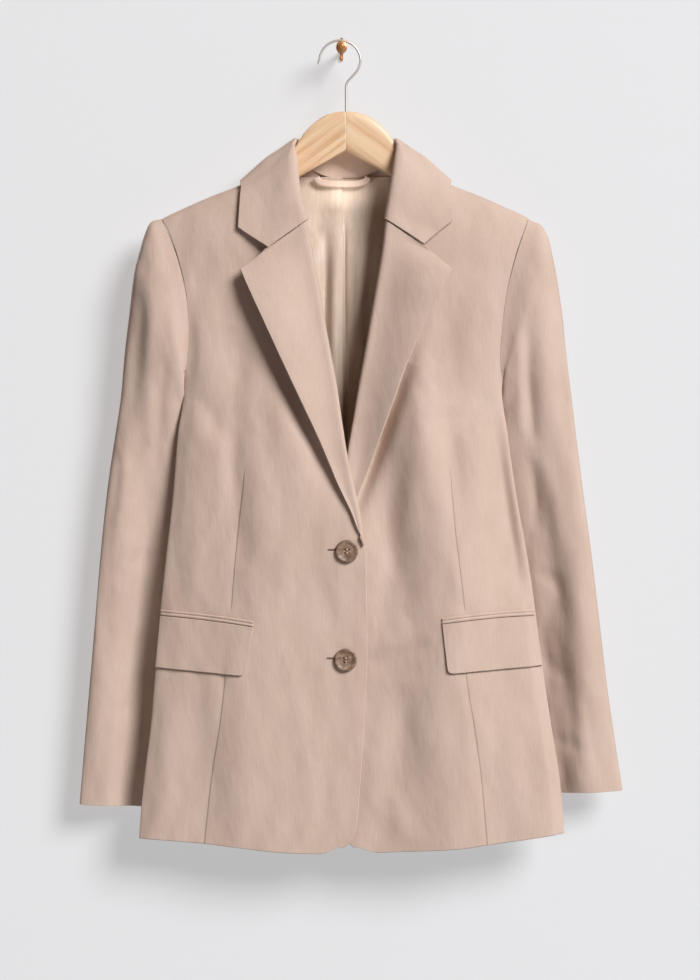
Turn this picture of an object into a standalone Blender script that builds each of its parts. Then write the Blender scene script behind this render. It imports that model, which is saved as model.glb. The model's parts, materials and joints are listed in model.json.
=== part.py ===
"""Single breasted blazer with notch lapels, hanging buttoned on a wooden hanger from a brass wall hook.

Frame: metres, +Z up, the front faces -Y, and the wearer's right is at -X. The origin is the centre of the back of
the wall hook's plate, and the wall is the plane y = 0. The tables below are in millimetres, in that frame.
The cloth is a wall CLOTH thick. A panel is a grid of points on the body's front or back surface; what lies on a
panel is made from the same surface, moved out.
"""

import math

import bmesh
import bpy
from mathutils import Vector

MM = 0.001
CLOTH = 1.8 * MM
LINING = 1.0 * MM
SEAM = 0.3 * MM  # gap between two pieces at a seam
CENTRE = 4.5 * MM  # the garment hangs this far to the wearer's left of the hook
RIDGE_DEPTH = -42 * MM  # y of the shoulder seam, over the hanger
SHOULDER_ROUND = 62 * MM  # drop over which the shoulder rounds into front and back
FRONT_FULLNESS = 2.6  # power of the front's section: higher is flatter, with a tighter turn at the side
BACK_FULLNESS = 2.1
SMOOTH_ANGLE = 40  # degrees: a sharper edge stays sharp
LAYER_GAP = 1.2 * MM  # least air under a lapel

# The body's section at each height: its two edges, and the depth of its front, its side seam and its back.
# Above the underarm the edges are the shape that the armhole is cut from.
BODY_COLUMNS = ("height", "right", "left", "front", "side", "back")
BODY = [
    (-90, -238, 246, -60, -43, -17),
    (-150, -233, 241, -64, -43, -15),
    (-200, -222, 230, -67, -44, -13),
    (-260, -203, 211, -69, -47, -12),
    (-320, -183, 187.5, -71, -52, -12),
    (-362, -167.7, 171, -72, -54, -12),
    (-417, -173.9, 176.8, -73, -54, -12),
    (-479, -178.8, 185.4, -74, -54, -12),
    (-549, -186.6, 198, -74, -54, -12),
    (-600, -192, 205.5, -74, -54, -12),
    (-662, -197.2, 213.4, -73.5, -54, -12),
    (-723, -202.2, 222.6, -73, -54, -12),
    (-774, -208.6, 230.8, -72, -54, -12),
    (-814, -212.8, 235, -71, -54, -13),
    (-862, -216.4, 238, -70, -54, -13),
]

# The armhole seam on each side, as the panels' outer edge.
ARMHOLE_COLUMNS = ("height", "right", "left")
ARMHOLE = [
    (-187, -192.2, 199.4),
    (-205, -183.5, 193),
    (-227, -175.3, 185.7),
    (-254, -167.8, 178.4),
    (-279, -163.6, 173.7),
    (-305, -162, 170.8),
    (-336, -163.6, 168.6),
    (-362, -167.7, 171),
]

# The shoulder line, as drop against distance from the centre.
SHOULDER_COLUMNS = ("out", "height")
SHOULDER = [
    (0, -78),
    (30, -90),
    (56, -107),
    (74, -121.5),
    (94, -138),
    (112, -150),
    (140, -161),
    (170, -174),
    (197, -187),
    (215, -199),
]

# Each front's inner edge: under the fold of collar and lapel, and then the free front edge and its round corner.
EDGE_COLUMNS = ("height", "right", "left")
ROLL = [
    (-104, -50.5, 60.5),
    (-125, -48.3, 57.4),
    (-162, -44.2, 51.5),
    (-190, -36.8, 46.7),
    (-225, -30, 42.5),
    (-260, -23.1, 36.5),
    (-296, -17.3, 30.3),
    (-330, -11, 24.4),
    (-365, -4.6, 18),
    (-402, 0.7, 11.8),
    (-436, 6, 6),
    (-473, 13.8, 1),
    (-500, 20, -2),
    (-535, 25, -4),
]
FRONT_EDGE = [
    (-540, 25.4, 1),
    (-600, 27, 0),
    (-655, 27.3, 0),
    (-677, 26.6, -1),
    (-744, 22.8, -2),
    (-803, 18.6, -1),
    (-827, 16.5, 1),
    (-839, 13.3, 4),
    (-850, 7, 9),
    (-857, -4, 18),
]

# The dart from the bust to the pocket, and the seam that runs on from it to the hem. Above DART_TIP it is only
# the line that the grid follows.
DART_TIP = -451 * MM
DART = [
    (-150, -126, 134),
    (-250, -114, 122),
    (-330, -104, 114),
    (-400, -100, 112),
    (-452, -101.8, 114.7),
    (-516, -108.6, 119.9),
    (-561, -113, 125.2),
    (-600, -116, 129.5),
    (-672, -122.4, 131.8),
    (-722, -128, 139.6),
    (-777, -136.8, 147.4),
    (-860, -146, 154.8),
]

# The hem of the fronts, as height against x.
HEM_COLUMNS = ("across", "height")
HEM = [(-222, -844.5), (-146, -849.5), (-65, -858.4), (-15, -860), (20, -859.4), (60, -858), (125, -854.5)]
HEM += [(154, -850.6), (196, -845.3), (242, -838.5)]

UNDERARM = ARMHOLE[-1][0] * MM
EDGE_TOP = -540 * MM  # the free front edge starts here, below the lapel's end

# Where the right front lies on the left one: how far it stands out at the pocket and higher up, the heights
# between which that changes, the distances from the centre over which it rises, and the drops over which it starts.
OVERLAP = (3.4 * MM, 7 * MM)
OVERLAP_HEIGHTS = (-620 * MM, -530 * MM)
OVERLAP_ACROSS = (-62 * MM, -14 * MM)
OVERLAP_DROPS = (330 * MM, 430 * MM)
BEHIND_FOLD = (3.5 * MM, 5.9 * MM)  # how far a front's edge stops short of the fold, low and high
BEHIND_FOLD_HEIGHTS = (-500 * MM, -400 * MM)
FOLD_END_HEIGHTS = (-540 * MM, -518 * MM)

# Rows of the front's grid: height at its inner edge, height at its outer edge, and how far the row follows the
# shoulder line or the hem.
FRONT_ROWS = [
    (-108, -187.3, 1),
    (-110, -188.5, 0.96),
    (-115, -191.5, 0.88),
    (-123, -197, 0.78),
    (-136, -206, 0.64),
    (-154, -220, 0.48),
    (-178, -241, 0.3),
    (-208, -268, 0.14),
    (-245, -296, 0),
    (-290, -328, 0),
    (-335, -362, 0),
    (-380, -392, 0),
    (-420, -424, 0),
    (-451, -451, 0),
    (-486, -486, 0),
    (-516, -516, 0),
    (-540, -540, 0),
    (-590, -590, 0),
    (-655, -655, 0),
    (-720, -720, 0),
    (-780, -780, 0),
    (-822, -815, 0),
    (-842, -832, 0.5),
    (-853, -844.5, 1),
]
HEM_ROWS = 2  # the last rows follow the hem and not the shoulder
HEM_EASE = 0.12  # share of a row over which the hem's shape comes in, beside the round corner
FRONT_COLUMNS = 7  # columns of the front's grid on each side of the dart
DART_SHARE = 0.55  # the dart's height on a row, as a share from its inner to its outer end

# Rows of the back's grid, with the same columns, and its neck edge as height against distance from the centre.
BACK_ROWS = [(-137.5, -187.3, 1), (-138.5, -188.5, 0.97), (-140.5, -191.5, 0.9), (-144, -197, 0.8)]
BACK_ROWS += [(-151, -206, 0.66), (-162, -220, 0.48), (-180, -241, 0.3), (-206, -268, 0.14), (-240, -296, 0)]
BACK_ROWS += [(-285, -328, 0), (-330, -362, 0), (-380, -400, 0), (-450, -455, 0), (-530, -530, 0)]
BACK_ROWS += [(-610, -610, 0), (-690, -690, 0), (-770, -770, 0), (-836, -836, 0)]
BACK_COLUMNS = 12
NECK_COLUMNS = ("out", "height")
NECK = [(0, -137.5), (20, -136), (40, -128.6), (50, -120), (57.5, -108.3)]

# Each lapel, row by row: height on the fold, x and height of the outer edge, and radius of the roll. The first row
# is the gorge seam, and the third ends at the lapel's tip.
LAPEL_RIGHT = [
    (-191.2, -77, -220.9, 4.5),
    (-210, -92, -231.5, 4.6),
    (-236, -106.8, -242.7, 4.8),
    (-268, -97.5, -264, 4.8),
    (-305, -80.5, -301, 4.8),
    (-345, -60.4, -344.5, 4.8),
    (-385, -40.5, -386.5, 4.4),
    (-425, -22.5, -425, 3.8),
    (-465, -4, -469, 3.2),
    (-495, 9.5, -497, 3.1),
    (-512, 16, -513.5, 2.9),
]
LAPEL_LEFT = [
    (-190.5, 86.6, -217.9, 4.5),
    (-208, 101, -229, 4.6),
    (-234, 116.5, -242.2, 4.8),
    (-266, 104, -267, 4.8),
    (-303, 86.5, -303, 4.8),
    (-342, 69.5, -341, 4.6),
    (-380, 55.5, -380, 3.8),
    (-415, 42.8, -415, 2.8),
    (-450, 30.2, -450, 2.2),
    (-482, 18, -480, 2),
    (-502, 8.5, -502, 2),
]

LAPEL_SPREAD = (7.5 * MM, 7 * MM)  # how far each lapel's edge stands out, right and left
LAPEL_FREE = (-420 * MM, -300 * MM)  # the left lapel's edge comes free over these heights
ROW_COLUMNS = 6  # columns of a lapel or a collar beyond its fold

# The collar from one gorge seam round the back of the neck to the other, each half by its own numbers. In front a
# row is the height on the fold, then x and height of the outer edge. Round the neck the fold is a point.
COLLAR_FRONT_RIGHT = [(-190.4, -77.2, -219.7), (-180, -94.5, -208.6), (-169, -109.6, -198), (-152, -108.6, -181)]
COLLAR_FRONT_RIGHT += [(-134, -107.6, -166), (-119, -106.6, -156)]
COLLAR_FRONT_LEFT = [(-189.4, 86.8, -216.3), (-179, 103.5, -202), (-168, 118.7, -189.8), (-151, 117.4, -176)]
COLLAR_FRONT_LEFT += [(-134, 116, -165), (-119, 114.8, -157)]
COLLAR_ROLL = 4.5 * MM
COLLAR_SPREAD = (4.2, 10.5)  # how far the collar's edge stands out, from the shoulder to the notch
COLLAR_SPREAD_HEIGHTS = (-200 * MM, -225 * MM)
COLLAR_FALL_LIFT = CLOTH + 1.6 * MM
COLLAR_BACK_COLUMNS = ("out", "depth", "crest", "foot_out", "foot_depth", "foot", "edge_out", "edge_face", "edge")
COLLAR_BACK = [
    (54.6, -50, -105.5, 57, -50, -112, 110.6, -1, -150.5),
    (54.2, -41, -102, 57.2, -41, -106.6, 108, 1, -152),
    (49.5, -29.5, -102, 52.5, -27.5, -115.5, 97, 1, -157),
    (38, -22.5, -104.5, 40.5, -20, -127, 72, 1, -161),
    (20, -19.5, -108, 20.5, -17.2, -135, 36, 1, -164),
    (0, -18.5, -109.5, 0, -16.8, -136.8, 0, 1, -165.5),
]

# Each sleeve's sections, from the head to the cuff. A section runs from its outer (top) point to its inner point,
# and bulges by half to the front and back of its middle depth; tilt takes its inner end nearer the wall, behind
# the body. seam says how much of the armhole's own shape is left in it.
SLEEVE_COLUMNS = ("seam", "depth", "half", "tilt")
SLEEVE_COLUMNS += ("out_right", "top_right", "in_right", "low_right", "out_left", "top_left", "in_left", "low_left")
SLEEVE = [
    (0.8, -41, 27, 0, -198.5, -188, -169.2, -364.5, 205.8, -190, 172.4, -364.5),
    (0.5, -40.5, 28, 2, -204, -190.8, -170.4, -369, 212.8, -193.5, 173.6, -369),
    (0.25, -40, 28.5, 4, -210, -204, -171, -375, 219.5, -205, 174.4, -375),
    (0.1, -39, 28, 6, -215.5, -223, -170, -383, 224.2, -222.5, 173.4, -383),
    (0, -38, 26.5, 9, -221.2, -247, -167, -393, 229.6, -250, 170.4, -393),
    (0, -36, 24, 12, -226.4, -290, -162, -408, 235.5, -290, 166, -408),
    (0, -34, 21.5, 16, -231.2, -331, -156, -428, 239.6, -331, 160, -428),
    (0, -32, 19, 20, -235.6, -380, -150, -456, 245.6, -380, 154, -456),
    (0, -30.5, 16.5, 23, -243.2, -430, -147, -490, 251.6, -430, 151, -490),
    (0, -29, 14.5, 25, -250, -478, -146, -526, 257.2, -478, 151, -526),
    (0, -27.5, 13, 27, -257, -545, -147, -578, 265.8, -545, 154, -578),
    (0, -26.5, 12, 28, -262.4, -610, -150, -632, 273.8, -610, 161, -632),
    (0, -25.5, 11.5, 28, -268.4, -680, -154, -694, 282.6, -680, 169, -694),
    (0, -25, 11, 27, -274, -745, -158, -757, 291.4, -740, 177, -748),
    (0, -25, 10.5, 25, -279.6, -811, -163, -817, 300, -796, 185, -801),
]
SLEEVE_FRONT_SEAM = 0.74  # where the two sleeve seams run, as a share of the way round from the top to the inside
SLEEVE_BACK_SEAM = 0.6
ARMHOLE_GAP = 1.0 * MM
SLEEVE_SEAM_GAP = 0.009  # half the gap at a sleeve seam, in radians round the section

# The pockets: the jet's top line and the flap's lower edge, at the end near the front and at the side seam, the
# rise of the jet's middle, and how far the flap's inner end slants. The order: inner end, jet's top at its inner
# and outer end, rise, flap's lower edge at its inner and outer end, slant.
POCKETS = {-1: (-92.5, -613.2, -601.8, 1.2, -671.8, -663.4, -9.6), 1: (105.8, -609.8, -601.6, 1.5, -669, -661.3, 6)}
FLAP_ROWS = 5
FLAP_LIFT = (0.4, 3.6)  # how far the flap stands off the front, at its top and its lower edge
JET_WIDTH = 6.8 * MM
FLAP_CORNER = 9 * MM
SIDE_SHARE = 0.992  # jets and flaps reach this share of the way to the side seam

BUTTONS = {"upper": (5.8, -540), "lower": (4.6, -654.5)}  # centres on the right front
BUTTON_RADIUS = 12 * MM
BUTTON_HEIGHT = 4.2 * MM
BUTTON_HOLE = 1.1 * MM
BUTTON_HOLE_SPACING = 1.8 * MM  # from the button's centre, across and up

# The back's lining, by the heights of its rows, with a pleat at the centre and a loop at the neck.
LINING_GAP = 1.6 * MM
LINING_ROWS = [-139.6, -148, -162, -185, -222, -275, -320, -358, -390, -430, -520, -640, -750, -812]
LINING_SHARE = 0.93  # how far towards the side seams it reaches
LINING_INSET = 15 * MM  # and short of the armholes
LINING_DROP = 26 * MM  # its top below the shoulder seam
LINING_FLAT = 50 * MM  # its top edge is level this far from the centre
LINING_BULGE = 16 * MM  # it hangs forward of the back by up to this, below the hanger
LINING_BULGE_TOP = (150 * MM, 235 * MM)
LINING_BULGE_LOW = (520 * MM, 820 * MM)
LINING_BULGE_SIDE = (40 * MM, 125 * MM)
PLEAT_X = 1.6 * MM
PLEAT_STEP = 2.4 * MM
LOOP = [(-27, -140), (-25.4, -143.6), (-20, -146.4), (-8, -147.2), (6, -147.4), (19, -147), (26.4, -144), (28.6, -140)]
LOOP_WIDTH = 5.6 * MM

# The hanger's arms: distance from the mitre, upper and lower edge, depth and thickness.
HANGER_CENTRE = 4.8 * MM
HANGER = [
    (0.15, -72.2, -113.7, -41, 13),
    (12, -73.2, -120, -41, 13),
    (26, -78.4, -128, -41, 13),
    (40, -89.6, -136, -41, 12.6),
    (50, -102.5, -142, -41.5, 11.5),
    (58, -115, -147, -42, 10.5),
    (74, -128.5, -157, -42, 10),
    (94, -145.2, -168, -42, 10),
    (112, -157, -177, -42, 10),
    (140, -168, -187, -42, 9.5),
    (170, -181.5, -198, -42, 9),
    (184, -190.5, -202.5, -42, 8),
]
WIRE_RADIUS = 1.3 * MM
WIRE_DEPTH = -40.5 * MM
WIRE_BEND = (-1.6 * MM, -18 * MM)  # centre of the hook's round bend
WIRE_BEND_RADIUS = 22 * MM
WIRE_NECK = [(19.9, -21), (16.8, -28.2), (11.2, -34.8), (6.4, -40.2), (4.8, -45.5), (4.8, -58), (4.8, -71.7)]

# The wall hook: an upright plate, a turned peg with a ball end, and a small drop below it.
PLATE = (3.4 * MM, 2.2 * MM, 25.4 * MM)
PEG_HEIGHT = -3.4 * MM
PEG = [(2.6, 2.6), (31, 2.6), (33, 5.6), (34, 5.8), (46.5, 5.8), (47.5, 5.4), (48.5, 2.9), (50, 3.5), (51.5, 3.8)]
PEG += [(53, 3.5), (54.4, 2.5), (55.2, 1)]
DROP = [(0, 1.1), (3.6, 1), (4.6, 1.6), (5.8, 1.9), (7, 1.5), (7.8, 0.6)]


def column(columns, rows, name, key, at):
    """The value of one column where another column, key, is at, on a smooth curve through the rows."""
    at = at / MM
    points = sorted((row[columns.index(key)], row[columns.index(name)]) for row in rows)
    if at <= points[0][0]:
        return points[0][1] * MM
    if at >= points[-1][0]:
        return points[-1][1] * MM
    last = max(i for i, point in enumerate(points[:-1]) if point[0] <= at)
    low, high = points[last], points[last + 1]
    before = points[max(last - 1, 0)]
    after = points[min(last + 2, len(points) - 1)]
    span = high[0] - low[0]
    start = (high[1] - before[1]) / (high[0] - before[0]) * span
    end = (after[1] - low[1]) / (after[0] - low[0]) * span
    t = (at - low[0]) / span
    rise = high[1] - low[1]
    return (low[1] + start * t + (3 * rise - 2 * start - end) * t**2 + (start + end - 2 * rise) * t**3) * MM


def smooth(value, low, high):
    """0 below low, 1 above high, and a soft step between."""
    t = min(max((value - low) / (high - low), 0), 1)
    return t * t * (3 - 2 * t)


def mix(a, b, t):
    return a + (b - a) * t


def side_name(side):
    """The wearer's side: right at -X, left at +X."""
    return "right" if side < 0 else "left"


def shoulder_height(x):
    return column(SHOULDER_COLUMNS, SHOULDER, "height", "out", abs(x - CENTRE))


def body(name, z):
    return column(BODY_COLUMNS, BODY, name, "height", z)


def depth(x, z, face):
    """y of the body's front (face -1) or back (face 1) at x and z."""
    edge = body("left" if x > 0 else "right", z)
    across = min(abs(x / edge), 1)
    power = FRONT_FULLNESS if face < 0 else BACK_FULLNESS
    shape = 0.58 if face < 0 else 0.9
    middle = body("front" if face < 0 else "back", z)
    flat = mix(body("side", z), middle, (1 - across**power) ** shape)
    drop = min(max((shoulder_height(x) - z) / SHOULDER_ROUND, 0), 1)
    return mix(RIDGE_DEPTH, flat, math.sqrt(1 - (1 - drop) ** 2)) + face * SEAM / 2


def overlap_rise(x, z):
    """How far the right front stands out where it lies on the left front and on the left lapel's end."""
    full = mix(*OVERLAP, smooth(z, *OVERLAP_HEIGHTS))
    return full * smooth(x, *OVERLAP_ACROSS) * smooth(-z, *OVERLAP_DROPS)


def surface(x, z, face, lift=0.0, side=1):
    """A point on the front or back, moved out by lift. The right front (side -1) has its rise at the overlap."""
    step = 0.5 * MM

    def y(px, pz):
        rise = overlap_rise(px, pz) if side < 0 and face < 0 else 0
        return depth(px, pz, face) - rise

    here = Vector((x, y(x, z), z))
    if lift == 0:
        return here
    slope_x = (y(x + step, z) - y(x - step, z)) / (2 * step)
    slope_z = (y(x, z + step) - y(x, z - step)) / (2 * step)
    normal = Vector((-face * slope_x, face, -face * slope_z)).normalized()
    return here + normal * lift


def inner_edge(side, z):
    """x of a front's inner edge: behind the fold above the break, the free edge below it."""
    name = side_name(side)
    if z < EDGE_TOP:
        return column(EDGE_COLUMNS, FRONT_EDGE, name, "height", z)
    back = mix(*BEHIND_FOLD, smooth(z, *BEHIND_FOLD_HEIGHTS)) * smooth(z, *FOLD_END_HEIGHTS)
    return column(EDGE_COLUMNS, ROLL, name, "height", z) + side * back


def fold_x(side, z):
    return column(EDGE_COLUMNS, ROLL, side_name(side), "height", z)


def outer_edge(side, z):
    """x of a panel's outer edge: the armhole, then the side seam."""
    name = side_name(side)
    if z > UNDERARM:
        return column(ARMHOLE_COLUMNS, ARMHOLE, name, "height", z)
    return body(name, z)


def material(name, colour, roughness, metallic=0.0):
    made = bpy.data.materials.new(name)
    made.use_nodes = True
    shader = made.node_tree.nodes["Principled BSDF"]
    shader.inputs["Base Color"].default_value = (*colour, 1)
    shader.inputs["Roughness"].default_value = roughness
    shader.inputs["Metallic"].default_value = metallic
    made.diffuse_color = (*colour, 1)
    return made


def add_object(name, mesh_data, finish, smooth_shaded=True):
    mesh = bpy.data.meshes.new(name)
    mesh_data.to_mesh(mesh)
    mesh_data.free()
    if smooth_shaded:
        mesh.shade_smooth()
        mesh.set_sharp_from_angle(angle=math.radians(SMOOTH_ANGLE))
    mesh.materials.append(finish)
    made = bpy.data.objects.new(name, mesh)
    bpy.context.scene.collection.objects.link(made)
    return made


def grid_normals(grid, flip):
    normals = []
    for i, row in enumerate(grid):
        line = []
        for j in range(len(row)):
            down = grid[min(i + 1, len(grid) - 1)][j] - grid[max(i - 1, 0)][j]
            over = row[min(j + 1, len(row) - 1)] - row[max(j - 1, 0)]
            line.append(down.cross(over).normalized() * flip)
        normals.append(line)
    return normals


def sheet(name, grid, thickness, flip, finish, skip=None, square=None, normals=None):
    """A wall of cloth from the grid of its outer face. flip is 1 where rows x columns already face outwards. skip
    says which cells (row, column) are left out, as at a slit. square says which axis (0 is X) the end face at a
    point (row, column) is square to, or None, so that the pieces at a seam don't cross."""
    normals = normals or grid_normals(grid, flip)
    for i, line in enumerate(normals):
        for j, normal in enumerate(line):
            axis = square(i, j) if square else None
            if axis is not None:
                normal[axis] = 0
                normal.normalize()
    rows, columns = len(grid), len(grid[0])
    mesh = bmesh.new()
    outer = [[mesh.verts.new(point) for point in row] for row in grid]
    inner = [
        [mesh.verts.new(grid[i][j] - normals[i][j] * thickness) for j in range(columns)] for i in range(rows)
    ]
    edges = {}
    for i in range(rows - 1):
        for j in range(columns - 1):
            if skip and skip(i, j):
                continue
            ring = [(i, j), (i, j + 1), (i + 1, j + 1), (i + 1, j)]
            mesh.faces.new([outer[a][b] for a, b in ring])
            mesh.faces.new([inner[a][b] for a, b in reversed(ring)])
            for start, end in zip(ring, ring[1:] + ring[:1]):
                if edges.pop((end, start), None) is None:
                    edges[(start, end)] = True
    for start, end in edges:
        (a, b), (c, d) = start, end
        mesh.faces.new([outer[c][d], outer[a][b], inner[a][b], inner[c][d]])
    loose = [vert for vert in mesh.verts if not vert.link_faces]
    bmesh.ops.delete(mesh, geom=loose, context="VERTS")
    bmesh.ops.recalc_face_normals(mesh, faces=mesh.faces)
    return add_object(name, mesh, finish)


def loft(name, rings, finish):
    """A closed solid from rings of points, with a flat cap on each end."""
    mesh = bmesh.new()
    made = [[mesh.verts.new(point) for point in ring] for ring in rings]
    for ring, following in zip(made, made[1:]):
        for k in range(len(ring)):
            after = (k + 1) % len(ring)
            mesh.faces.new([ring[k], ring[after], following[after], following[k]])
    mesh.faces.new(made[0])
    mesh.faces.new(made[-1])
    bmesh.ops.recalc_face_normals(mesh, faces=mesh.faces)
    return add_object(name, mesh, finish)


def turned(name, profile, sides, base, axis, finish):
    """A turned solid: profile is (distance along axis, radius) from base, with flat ends."""
    axis = Vector(axis).normalized()
    across = axis.orthogonal().normalized()
    up = axis.cross(across)
    rings = []
    for along, radius in profile:
        centre = Vector(base) + axis * along
        angles = [2 * math.pi * k / sides for k in range(sides)]
        rings.append([centre + (across * math.cos(a) + up * math.sin(a)) * radius for a in angles])
    return loft(name, rings, finish)


def spread(count, ease=0.0):
    """Fractions from 0 to 1; ease packs them towards 1."""
    steps = [k / (count - 1) for k in range(count)]
    return [mix(t, math.sin(t * math.pi / 2), ease) for t in steps]


def panel_end(height):
    """The axis that a panel's outer end is square to: Y at the side seam, X at the armhole."""
    return 1 if height <= ARMHOLE[-1][0] else 0


def front_panel(side, finish):
    name = side_name(side)
    top_inner, top_outer = (FRONT_ROWS[0][k] * MM for k in (0, 1))
    low_inner, low_outer = (FRONT_ROWS[-1][k] * MM for k in (0, 1))
    grid = []
    for number, (inner, outer, follow) in enumerate(FRONT_ROWS):
        inner, outer = inner * MM, outer * MM
        x_in, x_out = inner_edge(side, inner), outer_edge(side, outer)
        x_dart = column(EDGE_COLUMNS, DART, name, "height", mix(inner, outer, DART_SHARE))
        line = [mix(x_in, x_dart - side * SEAM, t) for t in spread(FRONT_COLUMNS)]
        line += [mix(x_dart + side * SEAM, x_out, t) for t in spread(FRONT_COLUMNS, 0.8)]
        row = []
        for x in line:
            t = (x - x_in) / (x_out - x_in)
            z = mix(inner, outer, t)
            if number >= len(FRONT_ROWS) - HEM_ROWS:
                hem = column(HEM_COLUMNS, HEM, "height", "across", x)
                z += follow * (hem - mix(low_inner, low_outer, t)) * smooth(t, 0, HEM_EASE)
            else:
                z += follow * (shoulder_height(x) - mix(top_inner, top_outer, t))
            row.append(surface(x, z, -1, side=side))
        grid.append(row)
    first_open = next(i for i, row in enumerate(FRONT_ROWS) if row[1] * MM <= DART_TIP)

    def in_slit(i, j):
        return j == FRONT_COLUMNS - 1 and i >= first_open

    def meets_back(i, j):
        if i == 0:
            return 1
        return panel_end(FRONT_ROWS[i][1]) if j == len(grid[0]) - 1 else None

    sheet("front_" + name, grid, CLOTH, side, finish, in_slit, meets_back)


def back_panel(side, finish):
    name = side_name(side)
    grid = []
    for inner, outer, follow in BACK_ROWS:
        inner, outer = inner * MM, outer * MM
        x_in, x_out = CENTRE + side * SEAM / 2, outer_edge(side, outer)
        row = []
        for t in spread(BACK_COLUMNS, 0.45):
            x = mix(x_in, x_out, t)
            out = abs(x - CENTRE)
            z = mix(inner, outer, t)
            if out < NECK[-1][0] * MM:
                top = column(NECK_COLUMNS, NECK, "height", "out", out)
            else:
                top = shoulder_height(x)
            z += follow * (top - mix(BACK_ROWS[0][0] * MM, BACK_ROWS[0][1] * MM, t))
            row.append(surface(x, z, 1, side=side))
        grid.append(row)

    def meets_front(i, j):
        if i == 0 and abs(grid[i][j].x - CENTRE) >= NECK[-1][0] * MM:
            return 1
        return panel_end(BACK_ROWS[i][1]) if j == len(grid[0]) - 1 else None

    sheet("back_" + name, grid, CLOTH, -side, finish, None, meets_front)


def rolled_row(side, fold_height, roll, across, height, columns, edge_lift):
    """One row of a lapel or of the collar's front: round the fold from behind, then over the front to its edge."""
    x_fold = fold_x(side, fold_height)
    foot = surface(x_fold + side * roll, fold_height, -1, side=side)
    centre = Vector((foot.x, foot.y + CLOTH - roll, foot.z))
    row = []
    for turn in (90, 45, 0, -45):
        angle = math.radians(turn)
        row.append(centre + Vector((-side * math.cos(angle), math.sin(angle), 0)) * roll)
    start = 2 * roll - CLOTH
    for k in range(1, columns + 1):
        t = k / columns
        x = mix(foot.x + side * 0.4 * MM, across, t)
        z = mix(fold_height, height, t)
        lift = mix(start, edge_lift, t) - 1.2 * MM * math.sin(math.pi * t) * min(start / (5 * MM), 1)
        row.append(surface(x, z, -1, max(lift, CLOTH + LAYER_GAP), side=side))
    return row


def lapel(side, finish):
    name = side_name(side)
    rows = LAPEL_RIGHT if side < 0 else LAPEL_LEFT
    right, left = LAPEL_SPREAD
    grid = []
    for number, (fold, across, height, roll) in enumerate(rows):
        free = math.sin(math.pi * min(number / (len(rows) - 1) * 1.15, 1)) if side < 0 else 1
        low = roll * MM * 2 - CLOTH
        edge_lift = low + (right * free if side < 0 else left * smooth(height * MM, *LAPEL_FREE))
        grid.append(rolled_row(side, fold * MM, roll * MM, across * MM, height * MM, ROW_COLUMNS, edge_lift))
    sheet("lapel_" + name, grid, CLOTH, side, finish, None, lambda i, j: 0 if j == 0 else None)


def collar_back_row(side, row):
    """One row of the collar round the neck: from the neck seam up the stand, over the fold and down the fall."""
    out, y, crest, foot_out, foot_y, foot, edge_out, face, edge = (
        value if key == "edge_face" else value * MM for key, value in zip(COLLAR_BACK_COLUMNS, row)
    )
    top = Vector((CENTRE + side * out, y, crest))
    bottom = Vector((CENTRE + side * foot_out, foot_y, foot))
    end = surface(CENTRE + side * edge_out, edge, face, COLLAR_FALL_LIFT, side=side)
    middle = mix(top, end, 0.5) + Vector((side * 1.5 * MM, 0.5 * MM * face, 2.0 * MM))
    shoulder_in = mix(bottom, top, 0.8)
    shoulder_out = mix(top, middle, 0.2)
    line = [bottom, mix(bottom, top, 0.45), shoulder_in, top, shoulder_out]
    line += [mix(shoulder_out, middle, 0.5), middle, mix(middle, end, 0.5), mix(middle, end, 0.8), end]
    return line


def collar(finish):
    halves = {}
    for side, rows in ((-1, COLLAR_FRONT_RIGHT), (1, COLLAR_FRONT_LEFT)):
        half = []
        for fold, across, height in rows:
            edge_lift = mix(*COLLAR_SPREAD, smooth(height * MM, *COLLAR_SPREAD_HEIGHTS)) * MM
            half.append(rolled_row(side, fold * MM, COLLAR_ROLL, across * MM, height * MM, ROW_COLUMNS, edge_lift))
        half += [collar_back_row(side, row) for row in COLLAR_BACK]
        halves[side] = half
    grid = halves[-1] + halves[1][-2::-1]
    fronts = len(COLLAR_FRONT_RIGHT)

    def at_fold(i, j):
        return 0 if j == 0 and (i < fronts or i >= len(grid) - fronts) else None

    sheet("collar", grid, CLOTH, -1, finish, None, at_fold)


def sleeve_section(side, row, angle):
    """A point of a sleeve's section: angle 0 is its outer point, positive angles are the front."""
    name = side_name(side)
    angle -= 2 * math.pi * round(angle / (2 * math.pi))
    share = abs(angle) / math.pi
    face = -1 if angle >= 0 else 1
    along = (1 - math.cos(math.pi * share)) / 2
    head, low = ARMHOLE[0][0] * MM, ARMHOLE[-1][0] * MM
    seam_height = mix(head, low, along)
    seam_x = outer_edge(side, seam_height)
    seam = Vector((seam_x + side * ARMHOLE_GAP, depth(seam_x, seam_height, face), seam_height))
    if row is None:
        return seam
    values = dict(zip(SLEEVE_COLUMNS, row))
    top = Vector((values["out_" + name], 0, values["top_" + name])) * MM
    low_point = Vector((values["in_" + name], 0, values["low_" + name])) * MM
    chord = mix(top, low_point, along)
    bulge = values["half"] * math.sin(math.pi * share) ** 0.85
    y = (values["depth"] + values["tilt"] * (along - 0.5) + face * bulge) * MM
    bow = seam_x - mix(outer_edge(side, head), outer_edge(side, low), along)
    return Vector((chord.x + values["seam"] * bow, mix(y, seam.y, values["seam"]), chord.z))


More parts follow.
